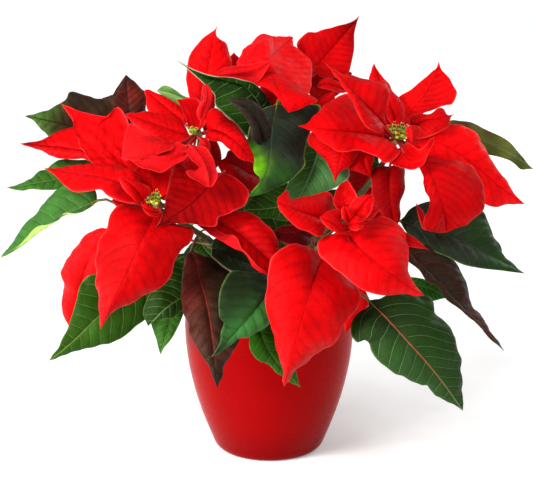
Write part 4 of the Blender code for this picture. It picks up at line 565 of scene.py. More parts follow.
# ---- short bracts further in, which close the heads behind the large ones; those given a tone are painted darker for the shade they lie in
leaf("bract_a9", "bract",
     [(160, 213, 64), (154, 212.5, 69), (147, 210, 71), (141.5, 205.5, 69)],
     [(156, 208), (149, 205), (144, 203)],
     [(158, 216.5), (151, 216.5), (144, 211.5)],
     da=-1, db=-1, arch=1, head="a")
leaf("bract_a10", "bract",
     [(152, 207, 40), (139, 206, 38), (126, 203, 34), (112, 200, 29)],
     [(148, 198), (136, 194), (122, 194)],
     [(146, 215), (133, 215), (119, 210)],
     da=-1, db=-1, arch=2, head="a", tone=0.45)
leaf("bract_a11", "bract",
     [(169, 202, 47), (172, 196, 43), (176, 187, 37), (180, 175, 29)],
     [(160, 198), (164, 187), (170, 176)],
     [(170, 209), (179, 200), (182, 187)],
     da=-1, db=-1, arch=2, head="a", tone=0.45)
leaf("bract_b11", "bract",
     [(190, 146, 22), (184, 158, 24), (178, 170, 22), (170, 184, 18)],
     [(180, 148), (171, 157), (166, 169), (165, 179)],
     [(203, 158), (203, 171), (190, 183)],
     da=-1, db=-1, arch=2, head="b", tone=0.6)
leaf("bract_b12", "bract",
     [(210, 137, 16), (212.5, 148, 15), (214, 158, 11), (216, 168, 4)],
     [(214, 138), (219, 146), (221.5, 158)],
     [(206, 149), (207, 158), (210, 168)],
     da=-1, db=-1, arch=2, head="b", tone=0.35)
leaf("bract_b14", "bract",
     [(204, 132, 19), (209, 127, 18), (215, 123, 16), (222, 119, 13)],
     [(203, 125), (209, 117), (216, 113)],
     [(210, 138), (217, 135), (222, 128)],
     da=-1, db=-1, arch=1, head="b", tone=0.7)
leaf("bract_b16", "bract",
     [(200, 139, 34), (204, 142.5, 36), (207, 147, 36), (209.5, 151.5, 33)],
     [(205, 137.5), (210, 142.5)],
     [(200.5, 145), (204.5, 150.5)],
     da=-1, db=-1, arch=1, head="b", face="under")
leaf("bract_e14", "bract",
     [(391, 137, 12), (386, 127, 6), (380, 114, -4), (374, 100, -12)],
     [(382, 134), (376, 122), (370, 109)],
     [(398, 127), (394, 112), (386, 101)],
     da=-1, db=-1, arch=2, head="e", tone=0.5)
leaf("bract_e15", "bract",
     [(404, 138, 7), (411, 131, 5), (419, 124, 2), (429, 119, -1)],
     [(405, 133), (411, 125), (420, 119)],
     [(411, 142), (421, 136), (429, 127)],
     da=-1, db=-1, arch=2, head="e", tone=0.5)
leaf("bract_e16", "bract",
     [(403, 144, 4), (412, 150, 4), (421, 157, 3), (431, 164, 0)],
     [(410, 138), (420, 145), (428, 154)],
     [(396, 152), (405, 162), (421, 168)],
     da=-1, db=-1, arch=2, head="e", tone=0.6)
leaf("bract_f9", "bract",
     [(351, 222, 60), (361, 221, 58), (371, 217, 55), (382, 211, 51)],
     [(352, 213), (363, 208), (374, 205)],
     [(359, 231), (370, 229), (380, 220)],
     da=-1, db=-1, arch=2, head="f", tone=0.6)
leaf("leaf_33", "leaf",
     [(379, 164, 3), (371, 160, -1), (361, 156, -5), (348, 152, -10)],
     [(375, 151), (362, 147.5), (354, 148)],
     [(374, 169), (365, 166), (354, 159)],
     da=-1, db=-1, arch=2, at=(381, 171, 8))
# ---- leaves, left
leaf("leaf_01", "brown",
     [(120, 134, -30), (96, 129, -25), (72, 126, -20), (50, 121, -16), (25.3, 116, -13)],
     [(116, 112), (106, 99), (95, 99), (85, 95), (76, 91.5), (69, 92), (66, 99), (59, 105), (50, 109.7), (38, 113.5)],
     [(104, 148), (80, 150), (62, 147), (49, 137.5), (43, 131), (37, 124), (31, 119)],
     da=-4, db=-4, arch=3, tilt=0.2, at=(196, 176, -4), tipc="green")
leaf("leaf_02", "brown",
     [(131, 136, -38), (129, 114, -43), (127, 94, -47), (126, 75, -50)],
     [(112, 124), (101, 112), (101, 98), (107, 96), (112, 95.5), (116, 89), (121, 82)],
     [(148, 126), (146, 111), (148, 94), (142, 88), (134, 81)],
     da=-2, db=-3, arch=3, at=(206, 180, -18))
leaf("leaf_03", "leaf",
     [(98, 178, -6), (62, 179, -2), (35, 183.5, 1), (7, 187.5, 3)],
     [(88, 160), (74, 159), (62, 160), (55, 163), (48, 168), (40, 170.5), (35, 176), (28, 180.5), (18, 185)],
     [(86, 191), (66, 187), (55, 189.5), (42, 190), (30, 188.7), (22, 190.5), (13, 189.5)],
     da=-3, db=2, arch=2, at=(196, 232, 33))
leaf("leaf_04", "leaf",
     [(97, 200.5, 26), (79, 208.5, 28), (58, 218, 26), (32, 236, 20), (12, 250.5, 14), (0.6, 257.5, 12)],
     [(96.5, 195), (94, 189), (80, 183), (65, 184), (56, 189), (50, 196), (45, 203), (38, 213), (28, 221), (18, 233.5), (9, 246)],
     [[(92, 208), (82, 214.5), (74, 217), (68, 216.5), (52, 226.5), (36, 237.5), (22, 248), (10, 254.7)],
      [(88, 207), (76, 213), (64, 213), (58, 220), (50, 224), (36, 227), (26, 238), (12, 251.5)]],
     da=-4, db=3, arch=2, over=2.5, at=(216, 245, 24), pet=[(190, 240, 18), (160, 228, 19), (121, 206, 27)])
leaf("leaf_05", "leaf",
     [(150, 283, 14), (122, 299, 27), (99, 316, 35), (72, 342, 38), (49, 360.5, 34)],
     [(132, 266), (112, 268), (97, 274), (88, 276), (81, 283), (78.5, 290), (77, 300), (72, 315), (68.5, 326), (64, 337), (57, 349)],
     [(158, 302), (146, 318), (136, 327), (125, 335.5), (111, 342.5), (102, 344), (90, 348), (75, 351), (62, 356.5)],
     da=2, db=-4, arch=3, tilt=0.15, at=(240, 262, 11), pet=[(205, 277, 11)])
leaf("leaf_06", "leaf",
     [(176, 296, 12), (171, 318, 20), (166, 336, 25), (160.7, 354.5, 26)],
     [(158, 308), (151, 322), (153, 332), (156.5, 342), (159, 350)],
     [(184, 308), (180, 322), (175, 333), (170, 341), (164, 348)],
     da=-2, db=2, arch=2, at=(252, 272, 5), pet=[(214, 288, 0)])
leaf("leaf_07", "leaf",
     [(202, 282, 16), (182, 297, 29), (165, 309, 36), (148.5, 326, 38)],
     [(195, 262), (180, 257), (167, 268), (155, 283), (147, 299), (143, 313), (145, 321)],
     [(198, 296), (182, 312), (170, 318), (158, 320.5), (152, 322)],
     da=-3, db=-2, arch=2, tilt=0.2, at=(224, 254, 2))
leaf("leaf_08", "brown",
     [(191, 251, 32), (200, 280, 54), (208, 310, 72), (213, 345, 86), (217, 387.5, 92)],
     [(187, 255), (183.5, 263), (181.5, 277), (181.5, 300), (184, 314), (188, 324), (190, 335), (198, 349), (206, 362), (211.5, 374)],
     [(205, 255), (217, 261), (229, 271), (239, 288), (242.5, 318), (239.5, 338), (235, 348), (228.5, 359), (223.5, 370), (220.5, 380)],
     da=-4, db=-4, arch=3, at=(200, 234, 31))
leaf("leaf_09", "leaf",
     [(278, 278, 52), (264, 298, 70), (247, 319, 86), (229, 339, 92), (211, 357.5, 93)],
     [(262, 274), (246, 271.5), (232, 271), (224.5, 280), (220, 291), (218.5, 305), (220, 318), (224, 322), (221, 332), (220, 341), (216, 350.5)],
     [(281, 298), (276, 317), (269, 326), (260, 330.5), (250, 335), (240, 337.5), (232, 343), (221, 350.5)],
     da=3, db=-4, arch=3, tilt=0.25, at=(286, 273, 16))
leaf("leaf_10", "leaf",
     [(256, 318, 66), (262, 336, 77), (270, 352, 78), (281, 367, 77), (300, 387, 72)],
     [(248, 328), (250, 338), (249, 347), (255, 357), (267, 363.5), (276, 372.5), (288, 380)],
     [(273, 324), (286, 342), (294, 360), (297, 374)],
     da=-2, db=-2, arch=2, at=(262, 262, 18), pet=[(252, 288, 40), (253, 304, 54)])
leaf("leaf_11", "leaf",
     [(212, 248, 36), (229, 255, 41), (246, 263, 42), (260, 269.5, 35), (272, 276, 28)],
     [(216, 238), (236, 243), (254, 252), (265, 263)],
     [(211, 256), (219, 263.5), (230, 271), (243, 276), (257, 278)],
     da=-2, db=4, arch=2, at=(224, 252, 20))
leaf("leaf_12", "leaf",
     [(199, 238, 4), (204, 248, 8), (211, 256, 13), (219, 261.5, 14)],
     [(192, 247), (197, 253), (206, 258)],
     [(207, 242), (213, 250), (217, 257)],
     da=0, db=0, arch=1, at=(212, 226, 2))
# ---- leaves, right
leaf("leaf_13", "leaf",
     [(368, 300, 62), (386, 318, 72), (406, 340, 77), (426, 362, 76), (446, 387, 71), (462.5, 410.5, 64)],
     [(368, 307), (361, 311.5), (354, 319), (350.7, 329), (352, 336), (357, 342), (364, 341), (369, 343), (372, 351), (377, 359), (386, 367), (394, 373.5), (402, 377), (411, 380), (420, 383), (427, 385), (431, 391), (435, 396), (445, 401), (455, 405.5)],
     [(377, 299), (390, 295), (405, 293), (420, 294), (430, 298), (434.5, 304), (435.5, 313), (442, 320), (449, 326), (454, 335), (457.5, 345), (460, 359), (461.5, 375), (462.5, 391), (463.5, 403)],
     da=-4, db=-5, arch=4, at=(298, 264, 29), pet=[(326, 273, 40), (350, 286, 56)])
leaf("leaf_14", "leaf",
     [(400, 221, 22), (430, 231, 27), (461, 241, 31), (491, 256.5, 33), (525, 273.5, 29)],
     [(412, 208), (432, 202), (458, 203), (481, 211), (487, 221), (492, 232), (493.5, 238), (499, 247), (505.5, 256.5), (512, 264), (518, 269)],
     [(408, 234), (428, 248), (444, 256), (455, 261), (465, 265.5), (472, 267), (487, 269), (505, 271), (517, 272.5)],
     da=-4, db=3, arch=3, at=(322, 233, 3), pet=[(350, 221, 16), (378, 215, 21)])
leaf("leaf_15", "brown",
     [(404, 246, 38), (420, 265, 48), (438, 284, 54), (456, 302, 57), (476, 322, 56), (504, 350.5, 50)],
     [(424, 245), (440, 251), (453, 260), (460, 268), (465.5, 279), (468, 288), (469.5, 298), (473, 307), (481, 313), (485.5, 320), (490, 332), (497, 341.5)],
     [(407, 260), (419, 270), (427, 282), (434, 285), (439, 288), (446, 299), (455, 306), (465, 313.5), (474, 321), (484, 331.5), (494, 342)],
     da=-5, db=4, arch=3, at=(308, 248, 2), pet=[(352, 246, 18)])
leaf("leaf_16", "leaf",
     [(403, 284, 20), (418, 286, 24), (433, 290, 26), (448, 298, 26)],
     [(410, 276.5), (421, 278), (431, 283), (440, 288)],
     [(410, 295), (423, 300), (433, 301), (442, 299)],
     da=-1, db=-1, arch=2, at=(320, 254, 4), pet=[(364, 272, 14)])
leaf("leaf_17", "brown",
     [(436, 133, -14), (465, 136, -8), (492, 145, -2), (514, 156.5, 2), (533, 169, 3)],
     [(450, 121), (460, 120.8), (471, 122), (485, 129), (500, 136), (511, 143.5), (521, 155), (527.5, 163)],
     [(452, 148), (470, 153), (488, 154.5), (500, 157), (511, 162), (521, 169.5), (528, 168.9)],
     da=-2, db=-2, arch=2, face="under", at=(366, 188, 6), pet=[(404, 158, -14)], tipc="olive")
# ---- leaves, centre
leaf("leaf_18", "leaf",
     [(267, 124, 1), (258, 102, 5), (242, 85, 7), (220, 77.5, 7), (199, 72, 6), (177.5, 61, 3)],
     [(272, 112, -4), (266, 96, -3), (254, 83.5, 1), (238, 79, 4), (222, 76.5, 5), (202, 72.5, 5.5)],
     [(260, 140), (248, 138), (236, 125), (224, 114), (215.5, 106), (214.5, 95), (206, 86), (196, 76.5), (186, 68)],
     da=-12, db=6, arch=3, tilt=0.1, at=(284, 160, -14))
leaf("leaf_19", "leaf",
     [(277, 104, 9), (273, 124, 18), (271, 148, 24), (268, 168, 29), (260, 186, 34), (246.5, 197.5, 36)],
     [(262, 110), (252, 122), (247.5, 136), (246, 148), (253, 159), (254, 170), (259.5, 180), (254, 189)],
     [(292, 105), (308, 103), (320, 106), (318, 120), (309, 134), (306, 150), (304, 166), (296, 175), (282, 185), (262, 193.5)],
     da=2, db=-8, arch=2, at=(288, 150, -12))
leaf("leaf_20", "brown",
     [(263, 145, 20), (259, 126, 31), (252, 113, 34), (241, 104.5, 34), (227.5, 99.5, 31)],
     [(272, 132), (267.5, 118), (260, 106.5), (251, 100), (240, 97.3)],
     [(253, 140), (250, 128), (244.5, 117), (235, 107.5)],
     da=-3, db=-1, arch=3, at=(282, 176, -6))
leaf("leaf_21", "leaf",
     [(322, 134, -2), (316, 158, 8), (308, 180, 15), (296, 203, 19)],
     [(306, 135), (298, 158), (289, 180), (285, 195)],
     [(338, 142), (347, 162), (348.5, 177), (340, 185.5), (322, 193.5), (308, 200)],
     da=-4, db=-2, arch=3, at=(300, 168, -10), face="top")
leaf("leaf_22", "leaf",
     [(306, 197, 8), (286, 205, 14), (266, 209, 17), (244, 210, 17)],
     [(289, 184), (272, 187), (253, 197)],
     [(302, 216), (285, 221), (270, 218), (255, 217)],
     da=-2, db=-2, arch=2, at=(296, 232, -4))
leaf("leaf_23", "leaf",
     [(206, 108, -16), (187, 101, -20), (171, 94, -23), (157, 91, -25)],
     [(199, 100), (184, 96), (174, 89), (164, 85.5)],
     [(196, 112), (180, 106), (168, 100)],
     da=-1, db=-1, arch=1, face="under", at=(236, 150, -20))
leaf("leaf_31", "leaf",
     [(282, 254, -4), (278, 232, 2), (268, 208, 4), (252, 186, 0)],
     [(298, 240), (296, 216), (278, 192)],
     [(262, 244), (250, 222), (244, 202)],
     da=-2, db=-2, arch=2, at=(274, 264, -3))
leaf("leaf_32", "leaf",
     [(306, 246, -10), (318, 226, -6), (332, 208, -5), (346, 190, -8)],
     [(300, 226), (308, 204), (328, 190)],
     [(322, 242), (338, 226), (348, 208)],
     da=-2, db=-2, arch=2, at=(292, 252, 0))


# ---- stems: from the soil up through the fork to each head (u, v, d), radii mm
STEMS = {
    "a": [(269, 280, 0), (243, 264, 10), (206, 238, 28), (172, 217, 46), (160, 208, 50)],
    "b": [(268, 281, -1), (237, 236, 2), (212, 188, 10), (200, 152, 20), (197, 139, 24)],
    "d": [(270, 279, -3), (280, 206, -16), (287, 130, -30), (287, 84, -32)],
    "e": [(270, 281, 0), (312, 242, 2), (362, 192, 6), (389, 154, 11), (395, 144, 12.5)],
    "f": [(270, 281, 2), (295, 266, 26), (325, 243, 54), (338, 230, 67)],
}
STEM_R = (3.0, 2.1)
# direction in which each flower cluster faces
FACE = {
    "a": (-0.25, -0.55, 0.80), "b": (-0.35, -0.75, 0.55), "d": (0.05, 0.05, 1.0),
    "e": (0.15, -0.45, 0.88), "f": (-0.35, -0.45, 0.82),
}


def head_point(h, up=0.0):
    """A point on a head's axis, `up` mm above the middle of its flower cluster."""
    return world([HEADS[h]])[0] + unit(np.array(FACE[h])) * up / 1000.0


def stem_line(h, n=40):
    pts = world(np.array(STEMS[h], float))
    end = head_point(h, -9.0)
    pts = np.vstack([pts[:-1], end])
    return spline(pts, np.linspace(0, 1, n + 1))


def stem_radius(h, f):
    return (STEM_R[0] + (STEM_R[1] - STEM_R[0]) * f) / 1000.0


def attach(lf, base):
    """Where a leaf's stalk meets its stem: the point and the stem's radius."""
    if "at" in lf:
        hint = world([lf["at"]])[0]
        best = None
        for h in STEMS:
            line = stem_line(h)
            for i in range(2, len(line) - 4):
                gap = np.linalg.norm(line[i] - hint)
                if best is None or gap < best[0]:
                    best = (gap, line[i], stem_radius(h, i / 40), line[i + 1] - line[i])
        return best[1], best[2], unit(best[3])
    h = lf["head"]
    line = stem_line(h, 200)
    arc = np.concatenate([[0], np.cumsum(np.linalg.norm(np.diff(line, axis=0), axis=1))])
    i = int(np.argmin(np.abs(arc - (arc[-1] - lf.get("low", 5.0) / 1000.0))))
    i = min(max(i, 1), 199)
    return line[i], stem_radius(h, i / 200), unit(line[i + 1] - line[i - 1])


def stalk(lf, base, lead, n, joined=False, gap=0.0010):
    """Points of a leaf's stalk, n+1 of them, from its stem to the blade's base.
    A joined stalk begins inside the stem or the short axis under the cluster."""
    if joined and "head" in lf:
        start = head_point(lf["head"], -3.0)
        near = unit(base - start)
        if np.linalg.norm(base - start) < 0.009:
            base_line = np.array([start, base])
        else:
            base_line = np.array([start, start + near * 0.004, base - lead * 0.003, base])
        return spline(base_line, np.linspace(0, 1, n + 1))
    foot, r, axis = attach(lf, base)
    out = [np.array(q) / 1000.0 if lf.get("wild") else world([q])[0] for q in lf.get("pet", [])]
    toward = (out[0] if out else base) - foot
    toward = unit(toward - axis * np.dot(toward, axis))
    start = foot if joined else foot + toward * (r + gap)
    pts = [start, foot + toward * (r + gap + 0.002)] + out
    if np.linalg.norm(base - pts[-1]) > 0.012:
        pts.append(base - lead * 0.004)
    pts.append(base)
    return spline(np.array(pts), np.linspace(0, 1, n + 1))


# ---- leaves and bracts on the sides away from the drawing, set by direction
def wild(name, kind, p, az, L, W, el0, el1, **more):
    w = dict(p=p, az=az, L=L, W=W, el0=el0, el1=el1)
    keys = ("bend", "turn", "roll", "twist", "lobe", "ph", "fold", "wave", "nw")
    w.update({k: more.pop(k) for k in keys if k in more})
    LEAVES.append(dict(name=name, kind=kind, wild=w, M=None, A=None, B=None, da=0, db=0,
                       arch=more.pop("arch", 3.0), **more))


def from_head(h, az, out, drop=0.0):
    """A point `out` mm from a head's centre in a direction, in mm."""
    c = head_point(h, -6.0) * 1000
    a = math.radians(az)
    return (c[0] + out * math.cos(a), c[1] + out * math.sin(a), c[2] - drop)


for h, az, L, W, el0, el1, low, more in (
    ("d", 70, 84, 38, 14, -34, 3, dict(ph=0.9)),
    ("d", 108, 88, 46, 24, -38, 1, dict(ph=1.4)),
    ("d", 145, 82, 44, 14, -36, 3, dict(ph=2.8)),
    ("e", 142, 66, 40, 8, -36, -1, dict(ph=1.1)),
    ("f", 60, 54, 32, 10, -24, 0, dict(ph=0.8)),
    ("b", 148, 62, 36, 6, -42, 9, dict(ph=1.9)),
):
    wild("bract_%s_back_%d" % (h, az), "bract", from_head(h, az, 8.0, low), az, L, W, el0, el1,
         head=h, fold=14.0, lobe=0.10, wave=2.0, **more)

for k, (az, r, z, L, W, el0, el1, hint, more) in enumerate((
    (58, 34, 196, 104, 60, 12, -52, (300, 200, -16), dict(ph=0.3)),
    (92, 32, 182, 118, 66, 8, -62, (272, 222, -12), dict(ph=1.2)),
    (128, 34, 190, 104, 60, 10, -56, (240, 214, 0), dict(ph=2.1)),
    (160, 34, 166, 84, 50, 0, -58, (232, 240, 4), dict(ph=0.7)),
    (24, 34, 158, 88, 52, 2, -58, (306, 240, -2), dict(ph=1.7)),
    (96, 30, 236, 92, 56, 16, -44, (280, 164, -22), dict(ph=2.6)),
    (74, 34, 156, 92, 54, 2, -60, (290, 244, -8), dict(ph=0.9)),
)):
    a = math.radians(az)
    wild("leaf_%02d" % (24 + k), "leaf", (r * math.cos(a), r * math.sin(a) + 4, z), az, L, W, el0, el1,
         at=hint, fold=12.0, lobe=0.12, wave=3.0, **more)

# small bracts that share one short axis under each flower cluster
GROUPED = {lf["name"] for lf in LEAVES if "_back_" in lf["name"]} | {
    "bract_a6", "bract_a7", "bract_b1", "bract_b1b", "bract_b2", "bract_b4", "bract_b5",
    "bract_b7", "bract_b9", "bract_d4", "bract_d6", "bract_d7",
    "bract_e3", "bract_e5", "bract_e8", "bract_e8b", "bract_e9", "bract_e10",
    "bract_a9", "bract_a10", "bract_a11", "bract_b11", "bract_b12", "bract_b14", "bract_b16",
    "bract_e14", "bract_e15", "bract_e16", "bract_f9",
    "bract_e13", "bract_f4a", "bract_f4b", "bract_f4c", "bract_f4d", "bract_f4e", "bract_f5"}
# small leaves that stay part of the stem they grow from
ON_STEM = {"leaf_12", "leaf_16", "leaf_22", "leaf_23", "leaf_31", "leaf_32", "bract_e12",
           "bract_g2", "bract_f7", "bract_f8", "leaf_33"}
# folded lobes that belong to another blade
PART_OF = {"bract_e7t": "bract_e7", "leaf_20": "leaf_19", "bract_d3": "bract_d2"}


# ---------------------------------------------------------------- small helpers
def lin(r, g, b):
    """A display colour, 0 to 255, as linear light."""
    c = np.array([r, g, b], float) / 255.0
    return np.where(c <= 0.04045, c / 12.92, ((c + 0.055) / 1.055) ** 2.4)


def ease(a, b, x):
    t = np.clip((np.asarray(x, float) - a) / (b - a), 0.0, 1.0)
    return t * t * (3 - 2 * t)


def ripple(p, size, seed):
    """A smooth uneven field of about -1 to 1 over points; size in metres."""
    rng = np.random.RandomState(seed)
    out = np.zeros(p.shape[:-1])
    for _ in range(7):
        d = unit(rng.normal(size=3))
        out += np.sin(p @ d * (2 * math.pi / size) * (0.6 + 0.9 * rng.rand()) + rng.rand() * 6.28)
    return out / 2.9


def drawn(p):
    """Where a point falls on the drawing (u, v)."""
    fwd = np.array([0.0, math.cos(EL), -math.sin(EL)])
    up = np.array([0.0, math.sin(EL), math.cos(EL)])
    v = p - EYE
    z = v @ fwd
    return U0 + FOC * v[..., 0] / z, V0 - FOC * (v @ up) / z


def seed_of(name):
    return sum((i + 3) * ord(c) for i, c in enumerate(name)) % 99991


# ---------------------------------------------------------------- pieces
class Piece:
    """Vertices, faces and their attributes, gathered into one mesh."""

    def __init__(self, name):
        self.name = name
        self.verts, self.faces, self.mats = [], [], []
        self.cells, self.corners = [], []
        self.att = {"tint": [], "vein": [], "ph": [], "rib": [], "edge": [], "amt": [], "sp": []}
        self.count = 0

    def add(self, verts, faces, mat, local, tint, vein=None, ph=None, rib=None, edge=None, amt=0.0, sp=8.0):
        """verts (n,3); faces a list of index tuples; local the (x, y) of each
        corner in this part's own cell of the bake map."""
        n = len(verts)

        def full(x, k):
            x = np.asarray(x, float)
            if k == 3:
                return np.broadcast_to(x, (n, 3)).copy()
            return np.broadcast_to(x, (n,)).copy()

        self.verts.append(np.asarray(verts, float))
        base = self.count
        self.faces += [tuple(base + i for i in f) for f in faces]
        self.mats += [mat] * len(faces)
        self.cells.append(len(faces))
        self.corners.append(np.asarray(local, float))
        a = self.att
        a["tint"].append(full(tint, 3))
        a["vein"].append(full(tint if vein is None else vein, 3))
        a["ph"].append(full(0.5 if ph is None else ph, 1))
        a["rib"].append(full(50.0 if rib is None else rib, 1))
        a["edge"].append(full(50.0 if edge is None else edge, 1))
        a["amt"].append(full(amt, 1))
        a["sp"].append(full(sp, 1))
        self.count += n

    def make(self, mats, nodes, angle=50.0):
        verts = np.concatenate(self.verts)
        mesh = bpy.data.meshes.new(self.name)
        mesh.from_pydata(verts.tolist(), [], self.faces)
        mesh.update()
        side = int(math.ceil(math.sqrt(len(self.cells))))
        uv = []
        for i, c in enumerate(self.corners):
            spot = np.array([i % side, i // side], float)
            uv.append((spot + 0.02 + 0.96 * c) / side)
        uv = np.concatenate(uv)
        layer = mesh.uv_layers.new(name="OFBake")
        layer.data.foreach_set("uv", uv.astype(np.float32).ravel())
        for key in ("tint", "vein"):
            at = mesh.attributes.new(key, "FLOAT_COLOR", "POINT")
            c = np.concatenate(self.att[key])
            c = np.concatenate([c, np.ones((len(c), 1))], axis=1)
            at.data.foreach_set("color", c.astype(np.float32).ravel())
        for key in ("ph", "rib", "edge", "amt", "sp"):
            at = mesh.attributes.new(key, "FLOAT", "POINT")
            at.data.foreach_set("value", np.concatenate(self.att[key]).astype(np.float32))
        for m in mats:
            mesh.materials.append(m)
        mesh.polygons.foreach_set("material_index", np.array(self.mats, np.int32))
        mesh.polygons.foreach_set("use_smooth", np.ones(len(mesh.polygons), bool))
        mesh.set_sharp_from_angle(angle=math.radians(angle))
        obj = bpy.data.objects.new(self.name, mesh)
        bpy.context.scene.collection.objects.link(obj)
        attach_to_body(obj, "root")
        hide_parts(*nodes)
        return obj


def sheet_faces(rows, cols, start=0, back=False):
    faces, local = [], []
    for i in range(rows - 1):
        for j in range(cols - 1):
            q = [(i, j), (i, j + 1), (i + 1, j + 1), (i + 1, j)]
            if back:
                q = q[::-1]
            faces.append(tuple(start + a * cols + b for a, b in q))
            local += [(a / (rows - 1), b / (cols - 1)) for a, b in q]
    return faces, np.array(local)


def tube(piece, line, radii, sides, mat, tint, flat=1.0, ref=None, caps=True, **more):
    """A closed tube along a line; tint one colour or one a ring."""
    line = np.asarray(line, float)
    run = unit(np.gradient(line, axis=0))
    ref = np.array([1.0, 0.0, 0.0]) if ref is None else ref
    w = ref - run[0] * np.dot(ref, run[0])
    if np.linalg.norm(w) < 0.05:
        w = np.array([0.0, 1.0, 0.0]) - run[0] * run[0][1]
    w = unit(w)
    verts = []
    for p, t, r in zip(line, run, radii):
        w = unit(w - t * np.dot(w, t))
        u = np.cross(t, w)
        ang = np.linspace(0, 2 * math.pi, sides, endpoint=False)
        verts.append(p + r * (np.cos(ang)[:, None] * w + flat * np.sin(ang)[:, None] * u))
    n = len(line)
    v = np.concatenate(verts + [line[:1], line[-1:]])
    faces, local = [], []
    for i in range(n - 1):
        for j in range(sides):
            k = (j + 1) % sides
            faces.append((i * sides + j, i * sides + k, (i + 1) * sides + k, (i + 1) * sides + j))
            local += [(i / n, j / sides), (i / n, (j + 1) / sides), ((i + 1) / n, (j + 1) / sides), ((i + 1) / n, j / sides)]
    if caps:
        a, b = n * sides, n * sides + 1
        for j in range(sides):
            k = (j + 1) % sides
            x, y = j / sides, (j + 1) / sides
            faces.append((a, k, j))
            local += [(0.9905, (x + y) / 2), (0.9955, y), (0.9955, x)]
            faces.append((b, (n - 1) * sides + j, (n - 1) * sides + k))
            local += [(0.984, (x + y) / 2), (0.989, x), (0.989, y)]
    tint = np.asarray(tint, float)
    if tint.ndim == 2:
        tint = np.concatenate([np.repeat(tint, sides, axis=0), tint[:1], tint[-1:]])
    piece.add(v, faces, mat, local, tint, **more)
    return v


def turned(piece, profile, sides, mat, tint, axis=(0, 0, 1), centre=(0, 0, 0), dent=None, scale=0.001, **more):
    """A surface of revolution from a (radius, height) profile, axis to axis."""
    axis = unit(np.array(axis, float))
    side = np.cross(axis, np.array([1.0, 0.15, 0.0]))
    if np.linalg.norm(side) < 1e-3:
        side = np.cross(axis, np.array([0.0, 1.0, 0.0]))
    side = unit(side)
    other = np.cross(axis, side)
    prof = np.array(profile, float)
    ang = np.linspace(0, 2 * math.pi, sides, endpoint=False)
    rows = len(prof)
    r = np.repeat(prof[:, 0:1], sides, axis=1)
    h = np.repeat(prof[:, 1:2], sides, axis=1)
    if dent is not None:
        r, h = dent(r, h, ang[None, :], np.linspace(0, 1, rows)[:, None])
    p = (np.array(centre) + scale * (r[..., None] * (np.cos(ang)[None, :, None] * side + np.sin(ang)[None, :, None] * other)
                                     + h[..., None] * axis))
    verts = p.reshape(-1, 3)
    step = np.concatenate([[0], np.cumsum(np.linalg.norm(np.diff(prof, axis=0), axis=1))])
    step /= step[-1]
    faces, local = [], []
    for i in range(rows - 1):
        for j in range(sides):
            k = (j + 1) % sides
            faces.append((i * sides + j, i * sides + k, (i + 1) * sides + k, (i + 1) * sides + j))
            x0, x1, y0, y1 = step[i], step[i + 1], j / sides, (j + 1) / sides
            local += [(x0, y0), (x0, y1), (x1, y1), (x1, y0)]
    piece.add(verts, faces, mat, local, tint, **more)
    return p
